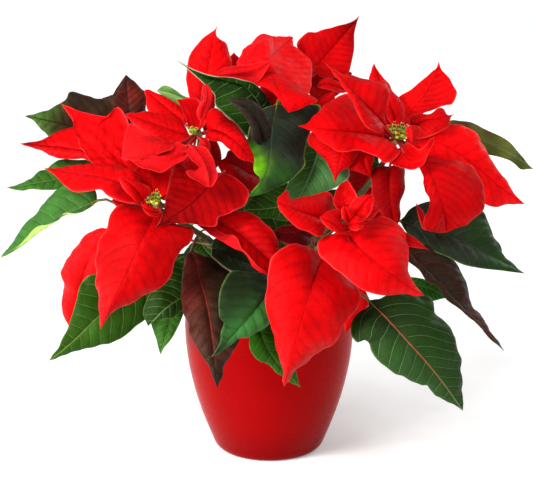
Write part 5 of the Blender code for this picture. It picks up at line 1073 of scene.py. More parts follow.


# ---------------------------------------------------------------- paint
# edge is the colour of the band along a blade's margin: on bracts a painted highlight, on leaves partly a paler margin
# and partly a painted highlight
BRACT = dict(top=(208, 2, 7), under=(222, 18, 24), vein=(132, 0, 4), edge=(255, 96, 90), stalk=(120, 24, 22), amt=0.30)
GREEN = dict(top=(28, 60, 6), under=(104, 142, 70), vein=(104, 140, 78), edge=(104, 134, 66), stalk=(92, 20, 16), amt=0.52)
BROWN = dict(top=(50, 30, 18), under=(90, 80, 46), vein=(26, 12, 8), edge=(84, 58, 40), stalk=(80, 20, 16), amt=0.6)
PAINT = {
    "leaf_01": dict(top=(46, 30, 18), tip=(58, 96, 34), under=(104, 122, 66)),
    "leaf_02": dict(top=(46, 20, 14), wash=[(134, 96, 12, (124, 26, 22), 0.7), (116, 112, 10, (96, 24, 18), 0.6)]),
    "leaf_03": dict(top=(50, 96, 28)),
    "leaf_04": dict(top=(48, 92, 34), under=(138, 168, 80)),
    "leaf_05": dict(top=(30, 62, 5), vein=(104, 128, 52), wash=[(96, 330, 16, (48, 88, 20), 0.6)]),
    "leaf_06": dict(top=(46, 92, 22)),
    "leaf_07": dict(top=(24, 46, 6)),
    "leaf_08": dict(top=(34, 22, 10), vein=(18, 8, 5), rib=(150, 44, 36),
                    wash=[(188, 296, 18, (104, 32, 28), 0.8), (192, 262, 12, (124, 38, 34), 0.6),
                          (200, 335, 20, (78, 30, 24), 0.6), (228, 350, 12, (76, 36, 30), 0.6),
                          (232, 305, 20, (34, 26, 12), 0.8)]),
    "leaf_09": dict(top=(26, 38, 18), vein=(26, 46, 22), wash=[(268, 318, 20, (66, 136, 60), 0.95), (240, 335, 16, (62, 128, 58), 0.8)]),
    "leaf_10": dict(top=(32, 80, 4), vein=(84, 116, 48)),
    "leaf_11": dict(top=(26, 38, 18), vein=(44, 60, 34), edge=(214, 190, 170), wash=[(262, 268, 14, (46, 66, 38), 0.8)]),
    # the near-black patch by leaf 13's base is painted shade under the bracts that hang over it
    "leaf_13": dict(top=(30, 58, 14), vein=(108, 142, 88), rib=(196, 92, 76),
                    wash=[(384, 322, 26, (17, 24, 9), 0.85), (405, 362, 26, (46, 80, 38), 0.7), (440, 395, 22, (44, 76, 30), 0.6)]),
    "leaf_14": dict(top=(32, 38, 28), vein=(72, 90, 66), wash=[(506, 262, 20, (22, 60, 6), 0.9), (484, 228, 16, (26, 66, 10), 0.8)]),
    "leaf_15": dict(top=(38, 26, 17), vein=(104, 48, 38), rib=(160, 84, 74), wash=[(482, 326, 18, (82, 40, 32), 0.6), (424, 262, 18, (50, 34, 26), 0.6)]),
    "leaf_16": dict(top=(34, 96, 20)),
    "leaf_17": dict(top=(52, 28, 20), under=(84, 90, 34), vein=(124, 44, 32),
                    under_wash=[(462, 124, 12, (60, 30, 22), 0.9), (490, 130, 10, (58, 34, 20), 0.8), (522, 160, 9, (48, 58, 14), 0.6)]),
    # the near-black patch on leaf 18's right side is painted shade
    "leaf_18": dict(top=(20, 46, 2), vein=(120, 158, 88), edge=(226, 222, 190),
                    wash=[(262, 102, 17, (8, 18, 5), 0.95), (228, 84, 14, (14, 40, 6), 0.6), (206, 80, 10, (20, 60, 8), 0.5), (232, 112, 12, (34, 82, 10), 0.5)]),
    "leaf_19": dict(top=(38, 42, 34), vein=(64, 86, 58), under=(112, 160, 36), edge=(180, 194, 84),
                    wash=[(257, 167, 12, (108, 182, 10), 1.0), (251, 150, 7, (80, 150, 16), 0.9), (284, 176, 14, (34, 78, 18), 0.8), (254, 190, 9, (70, 146, 30), 0.9)]),
    "leaf_20": dict(top=(38, 29, 26), vein=(54, 36, 32), under=(60, 46, 42)),
    # the bract red is painted lighter on bracts d2, e4, e6 and a3 and darker on a1, f1, f8, e11, e7 and a8, for the
    # light and shade that falls on each: painted light and shade
    "bract_d2": dict(top=(250, 10, 18)),
    "bract_e4": dict(top=(244, 8, 14)),
    "bract_e6": dict(top=(238, 5, 10)),
    "bract_a3": dict(top=(232, 6, 12)),
    "bract_a1": dict(top=(180, 1, 4)),
    "bract_f1": dict(top=(192, 2, 6)),
    "bract_f8": dict(top=(84, 1, 5)),
    "bract_e11": dict(top=(168, 1, 5)),
    "bract_e7": dict(top=(184, 1, 5)),
    "bract_a8": dict(top=(190, 4, 8), vein=(70, 2, 6), amt=0.6),
    "leaf_21": dict(top=(52, 92, 40), vein=(120, 156, 104), edge=(230, 226, 190), wash=[(338, 172, 18, (92, 148, 84), 0.9), (310, 160, 16, (34, 72, 24), 0.7)]),
}


def paint_of(lf):
    base = {"bract": BRACT, "leaf": GREEN, "brown": BROWN}[lf["kind"]]
    out = dict(base)
    out.update(PAINT.get(lf["name"], {}))
    return out


def tinted(lf, pts, s, t, under):
    """The blade's broad colours at points (rows, cols, 3), with painted shade from a tone and from some washes."""
    p = paint_of(lf)
    name = lf["name"]
    c = np.broadcast_to(lin(*(p["under"] if under else p["top"])), pts.shape).copy()
    if not under and "tip" in p:
        c += (lin(*p["tip"]) - c) * ease(0.55, 0.95, s)[:, None, None]
    # washes are colour patches laid at drawing positions: most are the blade's own colour, but the near-black ones on
    # leaves 13 and 18 are painted shade
    if True:
        u, v = drawn(pts)
        for wu, wv, wr, col, k in p.get("under_wash" if under else "wash", []):
            f = k * np.exp(-((u - wu) ** 2 + (v - wv) ** 2) / wr ** 2)
            c += (lin(*col) - c) * f[..., None]
    if lf.get("tip") == "dark":
        c *= (1 - 0.62 * ease(0.45, 1.0, s))[:, None, None]
    # each blade is a little lighter or darker than its neighbours
    rng = np.random.RandomState(seed_of(name))
    c *= (0.92 + 0.16 * rng.rand())
    c *= (1 + 0.10 * ripple(pts, 0.03, seed_of(name) + 5))[..., None]
    # a tone paints a blade darker for the shade it lies in among the others: painted shade
    tone = lf.get("tone")
    if tone:
        c *= 0.45 + 0.55 * tone
    return np.clip(c, 0, 1)


def blade_skin(piece, lf, joined=False):
    """Both faces of a blade, its rim and its stalk."""
    p = paint_of(lf)
    name, kind = lf["name"], lf["kind"]
    sd = seed_of(name)
    probe, _, _ = blade(lf, 16, 2)
    length = np.linalg.norm(np.diff(probe[:, 2], axis=0), axis=1).sum() * 1000
    half_w = max(np.linalg.norm(probe[:, 0] - probe[:, 2], axis=1).max(),
                 np.linalg.norm(probe[:, 4] - probe[:, 2], axis=1).max()) * 1000
    n = int(np.clip(length * 0.80, 26, 84))
    m = int(np.clip(half_w * 0.62, 7, 18))
    if len(lf["A"] or [0]) > 1 or len(lf["B"] or [0]) > 1:
        m = int(np.clip(half_w * 1.1, 12, 26))
    grid, s, t = blade(lf, n, m)
    mid = grid[:, m]
    # small but real width at both ends
    grid[0] = mid[0] + (grid[1] - mid[1]) * 0.45
    grid[-1] = mid[-1] + (grid[-2] - mid[-2]) * 0.18
    nn = grid_normals(grid)
    step = np.linalg.norm(np.diff(grid, axis=1), axis=2) * 1000
    right = np.concatenate([np.zeros((n + 1, 1)), np.cumsum(step[:, m:], axis=1)], axis=1)
    left = np.concatenate([np.zeros((n + 1, 1)), np.cumsum(step[:, :m][:, ::-1], axis=1)], axis=1)
    rib = np.concatenate([left[:, :0:-1], right], axis=1)
    edge = np.concatenate([np.repeat(left[:, -1:], m, 1), np.repeat(right[:, -1:], m + 1, 1)], axis=1) - rib
    along = np.concatenate([[0], np.cumsum(np.linalg.norm(np.diff(mid, axis=0), axis=1))])[:, None] * 1000
    sp = float(np.clip(length / (9.5 if kind != "bract" else 10.5), 3.0, 11.0))
    side = np.where(t >= 0, 1.0, 0.0)[None, :]
    ph = (along - 0.62 * rib - 0.010 * rib ** 2) / sp + 0.5 * side + 0.10 * ripple(grid, 0.05, sd)
    f = ph - np.floor(ph)
    d = np.minimum(f, 1 - f) * sp * 0.85
    fade = ease(0.0, 3.0, edge)
    q = {"bract": 0.17, "leaf": 0.40, "brown": 0.36}[kind] * min(1.0, half_w / 18.0)
    wr = lf.get("wrinkle", 0.0)
    h = q * np.sin(np.pi * f) ** 0.8 * fade * ease(0.0, 4.0, rib)
    h -= (0.26 if kind != "bract" else 0.12) * np.exp(-(d / 0.9) ** 2) * fade * ease(0.2, 1.5, rib)
    h -= 0.35 * np.exp(-(rib / 1.1) ** 2) * (1 - 0.6 * s[:, None])
    h += (0.55 + 0.5 * wr) * ripple(grid, 0.026, sd + 1) * ease(0.0, 6.0, rib) * min(1.0, half_w / 16.0)
    h += (0.17 + wr * 0.55) * ripple(grid, 0.0085, sd + 2) * ease(0.0, 3.0, rib) * min(1.0, half_w / 12.0)
    h += 0.7 * ripple(grid, 0.016, sd + 3) * ease(0.55, 1.0, np.abs(t))[None, :] * min(1.0, half_w / 14.0)
    ends = (ease(0.0, 0.05, s) * ease(0.0, 0.05, 1 - s))[:, None]
    h *= ends
    keel = 0.75 * np.exp(-(rib / 0.8) ** 2) * (1 - 0.75 * s[:, None])
    low = keel + 0.16 * np.exp(-(d / 0.7) ** 2) * fade * ends
    wall = SKIN / 2 * (0.45 + 0.55 * ease(0.0, 2.0, edge))
    top = grid + nn * ((h + wall) / 1000)[..., None]
    bot = grid + nn * ((h * 0.9 - wall - low) / 1000)[..., None]
    rows, cols = n + 1, 2 * m + 1
    vein = lin(*p["vein"])
    ribc = lin(*p.get("rib", p["vein"]))
    vcol = np.broadcast_to(vein, grid.shape).copy()
    near = np.exp(-(rib / 1.2) ** 2)[..., None] * (1 - ease(0.55, 0.95, s))[:, None, None]
    vcol += (ribc - vcol) * near
    # a pale band along the margins: on bracts a painted highlight, on leaves partly a paler margin and partly a
    # painted highlight
    margin_and_highlight_col = lin(*p["edge"])
    margin_and_highlight_mix = np.exp(-(edge / 0.45) ** 2)[..., None] * (0.55 if kind != "bract" else 0.30)
    ttop = tinted(lf, grid, s, t, False)
    tbot = tinted(lf, grid, s, t, True)
    ttop = ttop + (margin_and_highlight_col - ttop) * margin_and_highlight_mix
    tbot = tbot + (margin_and_highlight_col - tbot) * margin_and_highlight_mix * 0.6
    uv_lo, uv_hi = 0.02, 0.94
    fa, la = sheet_faces(rows, cols)
    la = np.stack([uv_lo + (uv_hi - uv_lo) * la[:, 0], uv_lo + (uv_hi - uv_lo) * la[:, 1]], -1)
    common = dict(ph=ph.ravel(), rib=rib.ravel(), edge=edge.ravel(), sp=sp)
    mat = {"bract": 0, "leaf": 0, "brown": 0}[kind]
    piece.add(top.reshape(-1, 3), fa, mat, la, ttop.reshape(-1, 3), vcol.reshape(-1, 3), amt=p["amt"], **common)
    fb, lb = sheet_faces(rows, cols, back=True)
    lb = np.stack([uv_lo + (uv_hi - uv_lo) * lb[:, 0], uv_lo + (uv_hi - uv_lo) * lb[:, 1]], -1)
    pale = np.clip(tbot * 1.25 + 0.03, 0, 1) if kind != "bract" else np.clip(tbot * 0.8, 0, 1)
    piece.add(bot.reshape(-1, 3), fb, mat, lb, tbot.reshape(-1, 3), pale.reshape(-1, 3), amt=p["amt"] * 0.6, **common)
    # the rim joins the last two sheets
    off_t = piece.count - 2 * rows * cols
    off_b = piece.count - rows * cols
    faces, local = [], []
    for i in range(n):
        a, b = i / n, (i + 1) / n
        for j, flip, y in ((cols - 1, False, 0.965), (0, True, 0.985)):
            q4 = [off_t + i * cols + j, off_b + i * cols + j, off_b + (i + 1) * cols + j, off_t + (i + 1) * cols + j]
            l4 = [(a, y), (a, y + 0.01), (b, y + 0.01), (b, y)]
            if flip:
                q4, l4 = q4[::-1], l4[::-1]
            faces.append(tuple(q4))
            local += l4
    for i, flip, x in ((n, False, 0.96), (0, True, 0.98)):
        for j in range(cols - 1):
            q4 = [off_t + i * cols + j, off_t + i * cols + j + 1, off_b + i * cols + j + 1, off_b + i * cols + j]
            a, b = 0.02 + 0.9 * j / cols, 0.02 + 0.9 * (j + 1) / cols
            l4 = [(x, a), (x, b), (x + 0.01, b), (x + 0.01, a)]
            if flip:
                q4, l4 = q4[::-1], l4[::-1]
            faces.append(tuple(q4))
            local += l4
    piece.faces += faces
    piece.mats += [mat] * len(faces)
    piece.cells[-1] += len(faces)
    piece.corners[-1] = np.concatenate([piece.corners[-1], np.array(local)])
    # the stalk runs on under the blade as its midrib
    if name in PART_OF:
        return
    tan = unit(np.gradient(mid, axis=0))
    line = stalk(lf, mid[0], tan[0], 12, True)
    run_on = [k for k in range(1, max(3, int(n * 0.22)), 2)]
    below = np.array([mid[k] - nn[k, m] * (0.0005 + 0.0002) for k in run_on])
    full = np.concatenate([line, below])
    r0 = STALK_RADIUS / 1000.0 * (1.0 if half_w > 14 else 0.72)
    rad = np.full(len(full), r0)
    rad[0] *= 1.5
    rad[1] *= 1.25
    k = len(line)
    rad[k:] = np.linspace(r0 * 0.95, 0.00025, len(below))
    sc = lin(*p["stalk"])
    bl = lin(*p["under"])
    f2 = np.concatenate([np.linspace(0, 0.35, k), np.linspace(0.4, 1.0, len(below))])[:, None]
    cols2 = sc * (1 - f2) + bl * f2
    cols2[:2] = lin(92, 84, 50)
    tube(piece, full, rad, 10, 1, cols2, amt=0.0)


# ---------------------------------------------------------------- materials
def new_material(name):
    mat = bpy.data.materials.new(name)
    mat.use_nodes = True
    nt = mat.node_tree
    nt.nodes.clear()
    out = nt.nodes.new("ShaderNodeOutputMaterial")
    out.location = (900, 0)
    return mat, nt, out


class Net:
    """Short names for making and joining shader nodes."""

    def __init__(self, nt):
        self.nt = nt

    def node(self, kind, **ins):
        n = self.nt.nodes.new("ShaderNode" + kind)
        for k, v in ins.items():
            if k.startswith("_"):
                setattr(n, k[1:], v)
                continue
            key = k.replace("_", " ")
            sock = n.inputs[int(k[1:])] if k[0] == "i" and k[1:].isdigit() else n.inputs[key]
            if isinstance(v, bpy.types.NodeSocket):
                self.nt.links.new(v, sock)
            else:
                sock.default_value = v
        return n

    def math(self, op, a, b=None, clamp=False):
        n = self.node("Math", _operation=op, _use_clamp=clamp, i0=a)
        if b is not None:
            if isinstance(b, bpy.types.NodeSocket):
                self.nt.links.new(b, n.inputs[1])
            else:
                n.inputs[1].default_value = b
        return n.outputs[0]

    def ramp(self, x, lo, hi, a=0.0, b=1.0, smooth=True):
        n = self.node("MapRange", _interpolation_type="SMOOTHSTEP" if smooth else "LINEAR",
                      Value=x, i1=lo, i2=hi, i3=a, i4=b)
        return n.outputs["Result"]

    def attr(self, name, what="Fac"):
        return self.node("Attribute", _attribute_name=name).outputs[what]

    def mix(self, fac, a, b, how="MIX"):
        n = self.nt.nodes.new("ShaderNodeMix")
        n.data_type = "RGBA"
        n.blend_type = how
        for sock, v in ((n.inputs[0], fac), (n.inputs[6], a), (n.inputs[7], b)):
            if isinstance(v, bpy.types.NodeSocket):
                self.nt.links.new(v, sock)
            else:
                sock.default_value = v
        return n.outputs[2]

    def place(self, scale):
        co = self.node("TexCoord").outputs["Object"]
        n = self.node("Mapping", Vector=co)
        n.inputs["Scale"].default_value = (scale, scale, scale)
        return n.outputs[0]


def blade_material(name, rough, through, glow, bump, spec, spec_tint):
    """The living skin of a bract or leaf: broad tint from the mesh, then mottling with painted shade on the crinkles,
    netted small veins, side veins and midrib with painted shade in the creases beside them, and light through it."""
    mat, nt, out = new_material(name)
    g = Net(nt)
    tint = g.attr("tint", "Color")
    vein = g.attr("vein", "Color")
    ph, rib, edge, amt, sp = (g.attr(k) for k in ("ph", "rib", "edge", "amt", "sp"))
    # side veins: how far, in mm, from the nearest one
    frac = g.math("FRACT", ph)
    other = g.math("SUBTRACT", 1.0, frac)
    near = g.math("MULTIPLY", g.math("MINIMUM", frac, other), g.math("MULTIPLY", sp, 0.85))
    wob = g.node("TexNoise", Vector=g.place(320.0), Scale=1.0, Detail=2.0).outputs["Fac"]
    near = g.math("ADD", near, g.math("MULTIPLY", g.math("SUBTRACT", wob, 0.5), 0.35))
    line = g.ramp(near, 0.08, 0.40, 1.0, 0.0)
    line = g.math("MULTIPLY", line, g.ramp(edge, 0.8, 4.0))
    # the net of smallest veins
    vor = g.node("TexVoronoi", _feature="DISTANCE_TO_EDGE", Vector=g.place(620.0), Scale=1.0)
    net = g.ramp(vor.outputs["Distance"], 0.0, 0.16, 1.0, 0.0)
    mid = g.ramp(rib, 0.30, 0.85, 1.0, 0.0)
    # mottling at random, and the crinkles of the bump painted lighter on their crests and darker in their hollows:
    # painted shade
    big = g.node("TexNoise", Vector=g.place(70.0), Scale=1.0, Detail=5.0, Roughness=0.6).outputs["Fac"]
    fine = g.node("TexNoise", Vector=g.place(900.0), Scale=1.0, Detail=3.0, Roughness=0.65).outputs["Fac"]
    crumple = g.node("TexNoise", Vector=g.place(240.0), Scale=1.0, Detail=4.0, Roughness=0.55).outputs["Fac"]
    shade = g.math("ADD", g.ramp(big, 0.25, 0.75, 0.80, 1.12, False), g.ramp(fine, 0.3, 0.7, -0.05, 0.05, False))
    shade = g.math("ADD", shade, g.ramp(crumple, 0.3, 0.7, -0.07, 0.07, False))
    grey = g.node("CombineColor", Red=shade, Green=shade, Blue=shade).outputs[0]
    body = g.mix(1.0, tint, grey, "MULTIPLY")
    # between the side veins the skin bulges; it is painted a touch lighter there and darker in the creases at the
    # veins: painted light and shade
    painted_bulge_shade = g.ramp(near, 0.4, 3.2, 0.94, 1.05)
    painted_bulge_shade = g.node("CombineColor", Red=painted_bulge_shade, Green=painted_bulge_shade, Blue=painted_bulge_shade).outputs[0]
    body = g.mix(1.0, body, painted_bulge_shade, "MULTIPLY")
    body = g.mix(g.math("MULTIPLY", g.math("MULTIPLY", net, amt), 0.10), body, vein)
    body = g.mix(g.math("MULTIPLY", g.math("MULTIPLY", line, amt), 0.85), body, vein)
    body = g.mix(g.math("MULTIPLY", mid, g.math("MULTIPLY", amt, 1.15, True)), body, vein)
    height = g.math("ADD", g.math("MULTIPLY", fine, 0.25), g.math("MULTIPLY", net, -0.22))
    height = g.math("ADD", height, g.math("MULTIPLY", line, -0.55))
    height = g.math("ADD", height, g.math("MULTIPLY", crumple, 1.6))
    height = g.math("ADD", height, g.math("MULTIPLY", mid, -0.6))
    bmp = g.node("Bump", Strength=bump, Distance=0.0005, Height=height).outputs[0]
    rgh = g.math("ADD", g.ramp(big, 0.3, 0.7, rough - 0.05, rough + 0.06, False), g.math("MULTIPLY", line, 0.06))
    bsdf = g.node("BsdfPrincipled", Base_Color=body, Roughness=rgh, Normal=bmp)
    bsdf.inputs["Specular IOR Level"].default_value = spec
    bsdf.inputs["Specular Tint"].default_value = spec_tint + (1.0,)
    lit = g.mix(1.0, body, glow + (1.0,), "MULTIPLY")
    trans = g.node("BsdfTranslucent", Color=lit, Normal=bmp)
    mixs = g.node("MixShader", i0=through)
    nt.links.new(bsdf.outputs[0], mixs.inputs[1])
    nt.links.new(trans.outputs[0], mixs.inputs[2])
    nt.links.new(mixs.outputs[0], out.inputs["Surface"])
    return mat


def stalk_material():
    mat, nt, out = new_material("stalk_skin")
    g = Net(nt)
    tint = g.attr("tint", "Color")
    big = g.node("TexNoise", Vector=g.place(140.0), Scale=1.0, Detail=4.0).outputs["Fac"]
    fine = g.node("TexNoise", Vector=g.place(1100.0), Scale=1.0, Detail=3.0).outputs["Fac"]
    shade = g.ramp(big, 0.25, 0.75, 0.75, 1.25, False)
    grey = g.node("CombineColor", Red=shade, Green=shade, Blue=shade).outputs[0]
    body = g.mix(1.0, tint, grey, "MULTIPLY")
    bmp = g.node("Bump", Strength=0.3, Distance=0.0003, Height=fine).outputs[0]
    bsdf = g.node("BsdfPrincipled", Base_Color=body, Roughness=g.ramp(fine, 0.3, 0.7, 0.36, 0.5, False), Normal=bmp)
    bsdf.inputs["Specular IOR Level"].default_value = 0.2
    nt.links.new(bsdf.outputs[0], out.inputs["Surface"])
    return mat


def bark_material():
    mat, nt, out = new_material("bark")
    g = Net(nt)
    tint = g.attr("tint", "Color")
    long = g.node("Mapping", Vector=g.node("TexCoord").outputs["Object"])
    long.inputs["Scale"].default_value = (900.0, 900.0, 160.0)
    grain = g.node("TexNoise", Vector=long.outputs[0], Scale=1.0, Detail=5.0, Roughness=0.6).outputs["Fac"]
    dots = g.node("TexVoronoi", Vector=g.place(420.0), Scale=1.0).outputs["Distance"]
    spot = g.ramp(dots, 0.10, 0.24, 1.0, 0.0)
    shade = g.ramp(grain, 0.3, 0.7, 0.65, 1.25, False)
    grey = g.node("CombineColor", Red=shade, Green=shade, Blue=shade).outputs[0]
    body = g.mix(1.0, tint, grey, "MULTIPLY")
    body = g.mix(g.math("MULTIPLY", spot, 0.45), body, (0.32, 0.26, 0.17, 1.0))
    height = g.math("ADD", grain, g.math("MULTIPLY", spot, 0.35))
    bmp = g.node("Bump", Strength=0.55, Distance=0.0006, Height=height).outputs[0]
    bsdf = g.node("BsdfPrincipled", Base_Color=body, Roughness=g.ramp(grain, 0.3, 0.7, 0.5, 0.7, False), Normal=bmp)
    bsdf.inputs["Specular IOR Level"].default_value = 0.2
    nt.links.new(bsdf.outputs[0], out.inputs["Surface"])
    return mat


def glaze_material():
    mat, nt, out = new_material("red_glaze")
    g = Net(nt)
    big = g.node("TexNoise", Vector=g.place(18.0), Scale=1.0, Detail=3.0).outputs["Fac"]
    fine = g.node("TexNoise", Vector=g.place(260.0), Scale=1.0, Detail=4.0).outputs["Fac"]
    co = g.node("TexCoord").outputs["Object"]
    z = g.node("SeparateXYZ", Vector=co).outputs["Z"]
    body = g.mix(g.ramp(big, 0.3, 0.7, 0.0, 0.55), GLAZE + (1.0,), GLAZE_DEEP + (1.0,))
    # the glaze thins at the rim, and it is painted darker towards the foot: painted shade
    rim = g.math("MULTIPLY", g.ramp(z, 0.1265, 0.1295), g.ramp(fine, 0.3, 0.7, 0.15, 0.40))
    body = g.mix(rim, body, (0.62, 0.045, 0.03, 1.0))
    body = g.mix(g.ramp(z, 0.0, 0.040, 0.55, 0.0), body, (0.13, 0.001, 0.002, 1.0))
    height = g.math("ADD", g.math("MULTIPLY", big, 0.9), g.math("MULTIPLY", fine, 0.10))
    bmp = g.node("Bump", Strength=0.05, Distance=0.0008, Height=height).outputs[0]
    bsdf = g.node("BsdfPrincipled", Base_Color=body, Roughness=g.ramp(fine, 0.3, 0.7, POT_ROUGH - 0.02, POT_ROUGH + 0.03, False), Normal=bmp)
    bsdf.inputs["Metallic"].default_value = 0.35
    bsdf.inputs["Specular IOR Level"].default_value = 0.08
    bsdf.inputs["Specular Tint"].default_value = (1.0, 0.12, 0.12, 1.0)
    nt.links.new(bsdf.outputs[0], out.inputs["Surface"])
    return mat


def clay_material():
    """Unglazed clay under the foot."""
    mat, nt, out = new_material("bare_clay")
    g = Net(nt)
    fine = g.node("TexNoise", Vector=g.place(700.0), Scale=1.0, Detail=5.0).outputs["Fac"]
    body = g.mix(g.ramp(fine, 0.35, 0.7), (0.46, 0.20, 0.13, 1.0), (0.34, 0.13, 0.08, 1.0))
    bmp = g.node("Bump", Strength=0.4, Distance=0.0004, Height=fine).outputs[0]
    bsdf = g.node("BsdfPrincipled", Base_Color=body, Roughness=g.ramp(fine, 0.3, 0.7, 0.8, 0.95, False), Normal=bmp)
    nt.links.new(bsdf.outputs[0], out.inputs["Surface"])
    return mat


def soil_material():
    mat, nt, out = new_material("potting_soil")
    g = Net(nt)
    crumb = g.node("TexNoise", Vector=g.place(480.0), Scale=1.0, Detail=6.0, Roughness=0.7).outputs["Fac"]
    lump = g.node("TexVoronoi", Vector=g.place(260.0), Scale=1.0)
    tint = g.attr("tint", "Color")
    shade = g.ramp(crumb, 0.3, 0.7, 0.45, 1.5, False)
    grey = g.node("CombineColor", Red=shade, Green=shade, Blue=shade).outputs[0]
    body = g.mix(1.0, tint, grey, "MULTIPLY")
    fleck = g.ramp(crumb, 0.66, 0.72)
    body = g.mix(g.math("MULTIPLY", fleck, 0.5), body, (0.22, 0.13, 0.07, 1.0))
    height = g.math("ADD", crumb, g.math("MULTIPLY", lump.outputs["Distance"], 0.8))
    bmp = g.node("Bump", Strength=0.9, Distance=0.0012, Height=height).outputs[0]
    bsdf = g.node("BsdfPrincipled", Base_Color=body, Roughness=g.ramp(crumb, 0.3, 0.7, 0.85, 1.0, False), Normal=bmp)
    nt.links.new(bsdf.outputs[0], out.inputs["Surface"])
    return mat


def flower_material():
    mat, nt, out = new_material("flower_skin")
    g = Net(nt)
    tint = g.attr("tint", "Color")
    fine = g.node("TexNoise", Vector=g.place(1500.0), Scale=1.0, Detail=3.0).outputs["Fac"]
    shade = g.ramp(fine, 0.3, 0.7, 0.75, 1.2, False)
    grey = g.node("CombineColor", Red=shade, Green=shade, Blue=shade).outputs[0]
    body = g.mix(1.0, tint, grey, "MULTIPLY")
    bmp = g.node("Bump", Strength=0.3, Distance=0.0002, Height=fine).outputs[0]
    bsdf = g.node("BsdfPrincipled", Base_Color=body, Roughness=g.ramp(fine, 0.3, 0.7, 0.3, 0.5, False), Normal=bmp)
    bsdf.inputs["Subsurface Weight"].default_value = 0.0
    nt.links.new(bsdf.outputs[0], out.inputs["Surface"])
    return mat


GLAZE = (0.265, 0.0014, 0.0020)
GLAZE_DEEP = (0.235, 0.0011, 0.0016)
POT_ROUGH = 0.26

bract_skin = blade_material("bract_skin", 0.46, 0.24, (1.0, 0.22, 0.16), 0.60, 0.16, (1.0, 0.20, 0.20))
leaf_skin = blade_material("leaf_skin", 0.44, 0.16, (0.95, 1.0, 0.20), 0.60, 0.10, (0.75, 1.0, 0.55))
brown_skin = blade_material("brown_leaf_skin", 0.44, 0.10, (1.0, 0.6, 0.30), 0.60, 0.12, (1.0, 0.75, 0.6))
stalk_skin = stalk_material()
bark = bark_material()
flower_skin = flower_material()
glaze = glaze_material()
clay = clay_material()
peat = soil_material()

# ---------------------------------------------------------------- leaves and bracts
SKIN_OF = {"bract": (bract_skin, "bract"), "leaf": (leaf_skin, "leaf"), "brown": (brown_skin, "brown_leaf")}
BY_NAME = {lf["name"]: lf for lf in LEAVES}
for lf in LEAVES:
    name = lf["name"]
    if name in GROUPED or name in ON_STEM or name in PART_OF:
        continue
    piece = Piece(name + "_blade")
    blade_skin(piece, lf)
    for k in sorted(PART_OF):
        if PART_OF[k] == name:
            blade_skin(piece, BY_NAME[k])
    skin, slot = SKIN_OF[lf["kind"]]
    piece.make([skin, stalk_skin], [name])

# ---------------------------------------------------------------- stems
stems = Piece("stems_bark")
fork = world([(269.5, 279, 0)])[0]
foot = np.array([0.0, 0.0, SOIL_TOP / 1000.0 - 0.012])
soil_line = np.array([0.0, 0.0, SOIL_TOP / 1000.0 + 0.006])
WOOD, GREEN_WOOD = lin(104, 82, 54), lin(76, 74, 36)


def knots(line, radii, first, gap, seed):
    """Swells a stem where leaves grow or have fallen."""
    arc = np.concatenate([[0], np.cumsum(np.linalg.norm(np.diff(line, axis=0), axis=1))]) * 1000
    rng = np.random.RandomState(seed)
    at = first
    out = radii.copy()
    mark = np.zeros(len(line))
    while at < arc[-1] - 6:
        out *= 1 + 0.22 * np.exp(-((arc - at) / 2.2) ** 2)
        mark += np.exp(-((arc - at) / 1.2) ** 2)
        at += gap * (0.7 + 0.6 * rng.rand())
    return out, np.clip(mark, 0, 1)


line = spline(np.array([foot, foot + (soil_line - foot) * 0.5, soil_line, fork]), np.linspace(0, 1, 49))
line[:24, :2] = line[:24, :2] * np.linspace(0, 1, 24)[:, None]
rad, mark = knots(line, np.linspace(TRUNK_RADIUS, 4.5, 49) / 1000, 18.0, 11.0, 3)
rad *= 1 + 0.05 * ripple(line, 0.012, 8)
tube(stems, line, rad, 28, 0, WOOD * (1 - 0.35 * mark[:, None]), amt=0.0)
for k, h in enumerate(STEMS):
    line = stem_line(h, 90)
    base = np.array([stem_radius(h, i / 90) for i in range(91)])
    rad, mark = knots(line, base, 14.0, 19.0, 20 + k)
    f = np.linspace(0, 1, 91)[:, None]
    col = WOOD * (1 - ease(0.1, 0.6, f)) + GREEN_WOOD * ease(0.1, 0.6, f)
    col = col * (1 - 0.35 * mark[:, None])
    tube(stems, line, rad, 18, 0, col, amt=0.0)
for name in sorted(ON_STEM):
    one = Piece("x")
    blade_skin(one, BY_NAME[name], True)
    mat = 2 if BY_NAME[name]["kind"] == "bract" else 3
    shift = stems.count
    stems.verts += one.verts
    stems.faces += [tuple(shift + i for i in q) for q in one.faces]
    stems.mats += [mat if q == 0 else 1 for q in one.mats]
    stems.cells += one.cells
    stems.corners += one.corners
    for key in stems.att:
        stems.att[key] += one.att[key]
    stems.count += one.count
stems.make([bark, stalk_skin, bract_skin, leaf_skin], ["stems"])

# ---------------------------------------------------------------- flower heads
HEAD_KIT = {"a": (7, 4.6), "b": (4, 2.1), "d": (5, 3.6), "e": (13, 7.0), "f": (3, 1.2)}
URN_SIZE = {"a": 1.1, "b": 1.0, "d": 1.0, "e": 1.22, "f": 1.0}
URN = [(0.05, -0.9), (0.8, -0.7), (1.25, 0.0), (1.62, 1.0), (1.75, 2.0), (1.62, 3.0), (1.25, 3.75), (1.0, 4.15),
       (1.12, 4.45), (0.95, 4.5), (0.75, 4.1), (0.5, 3.6), (0.05, 3.4)]
YELLOW, LIME, DARK_RED, FILAMENT = lin(250, 224, 50), lin(134, 172, 40), lin(120, 10, 14), lin(214, 52, 40)


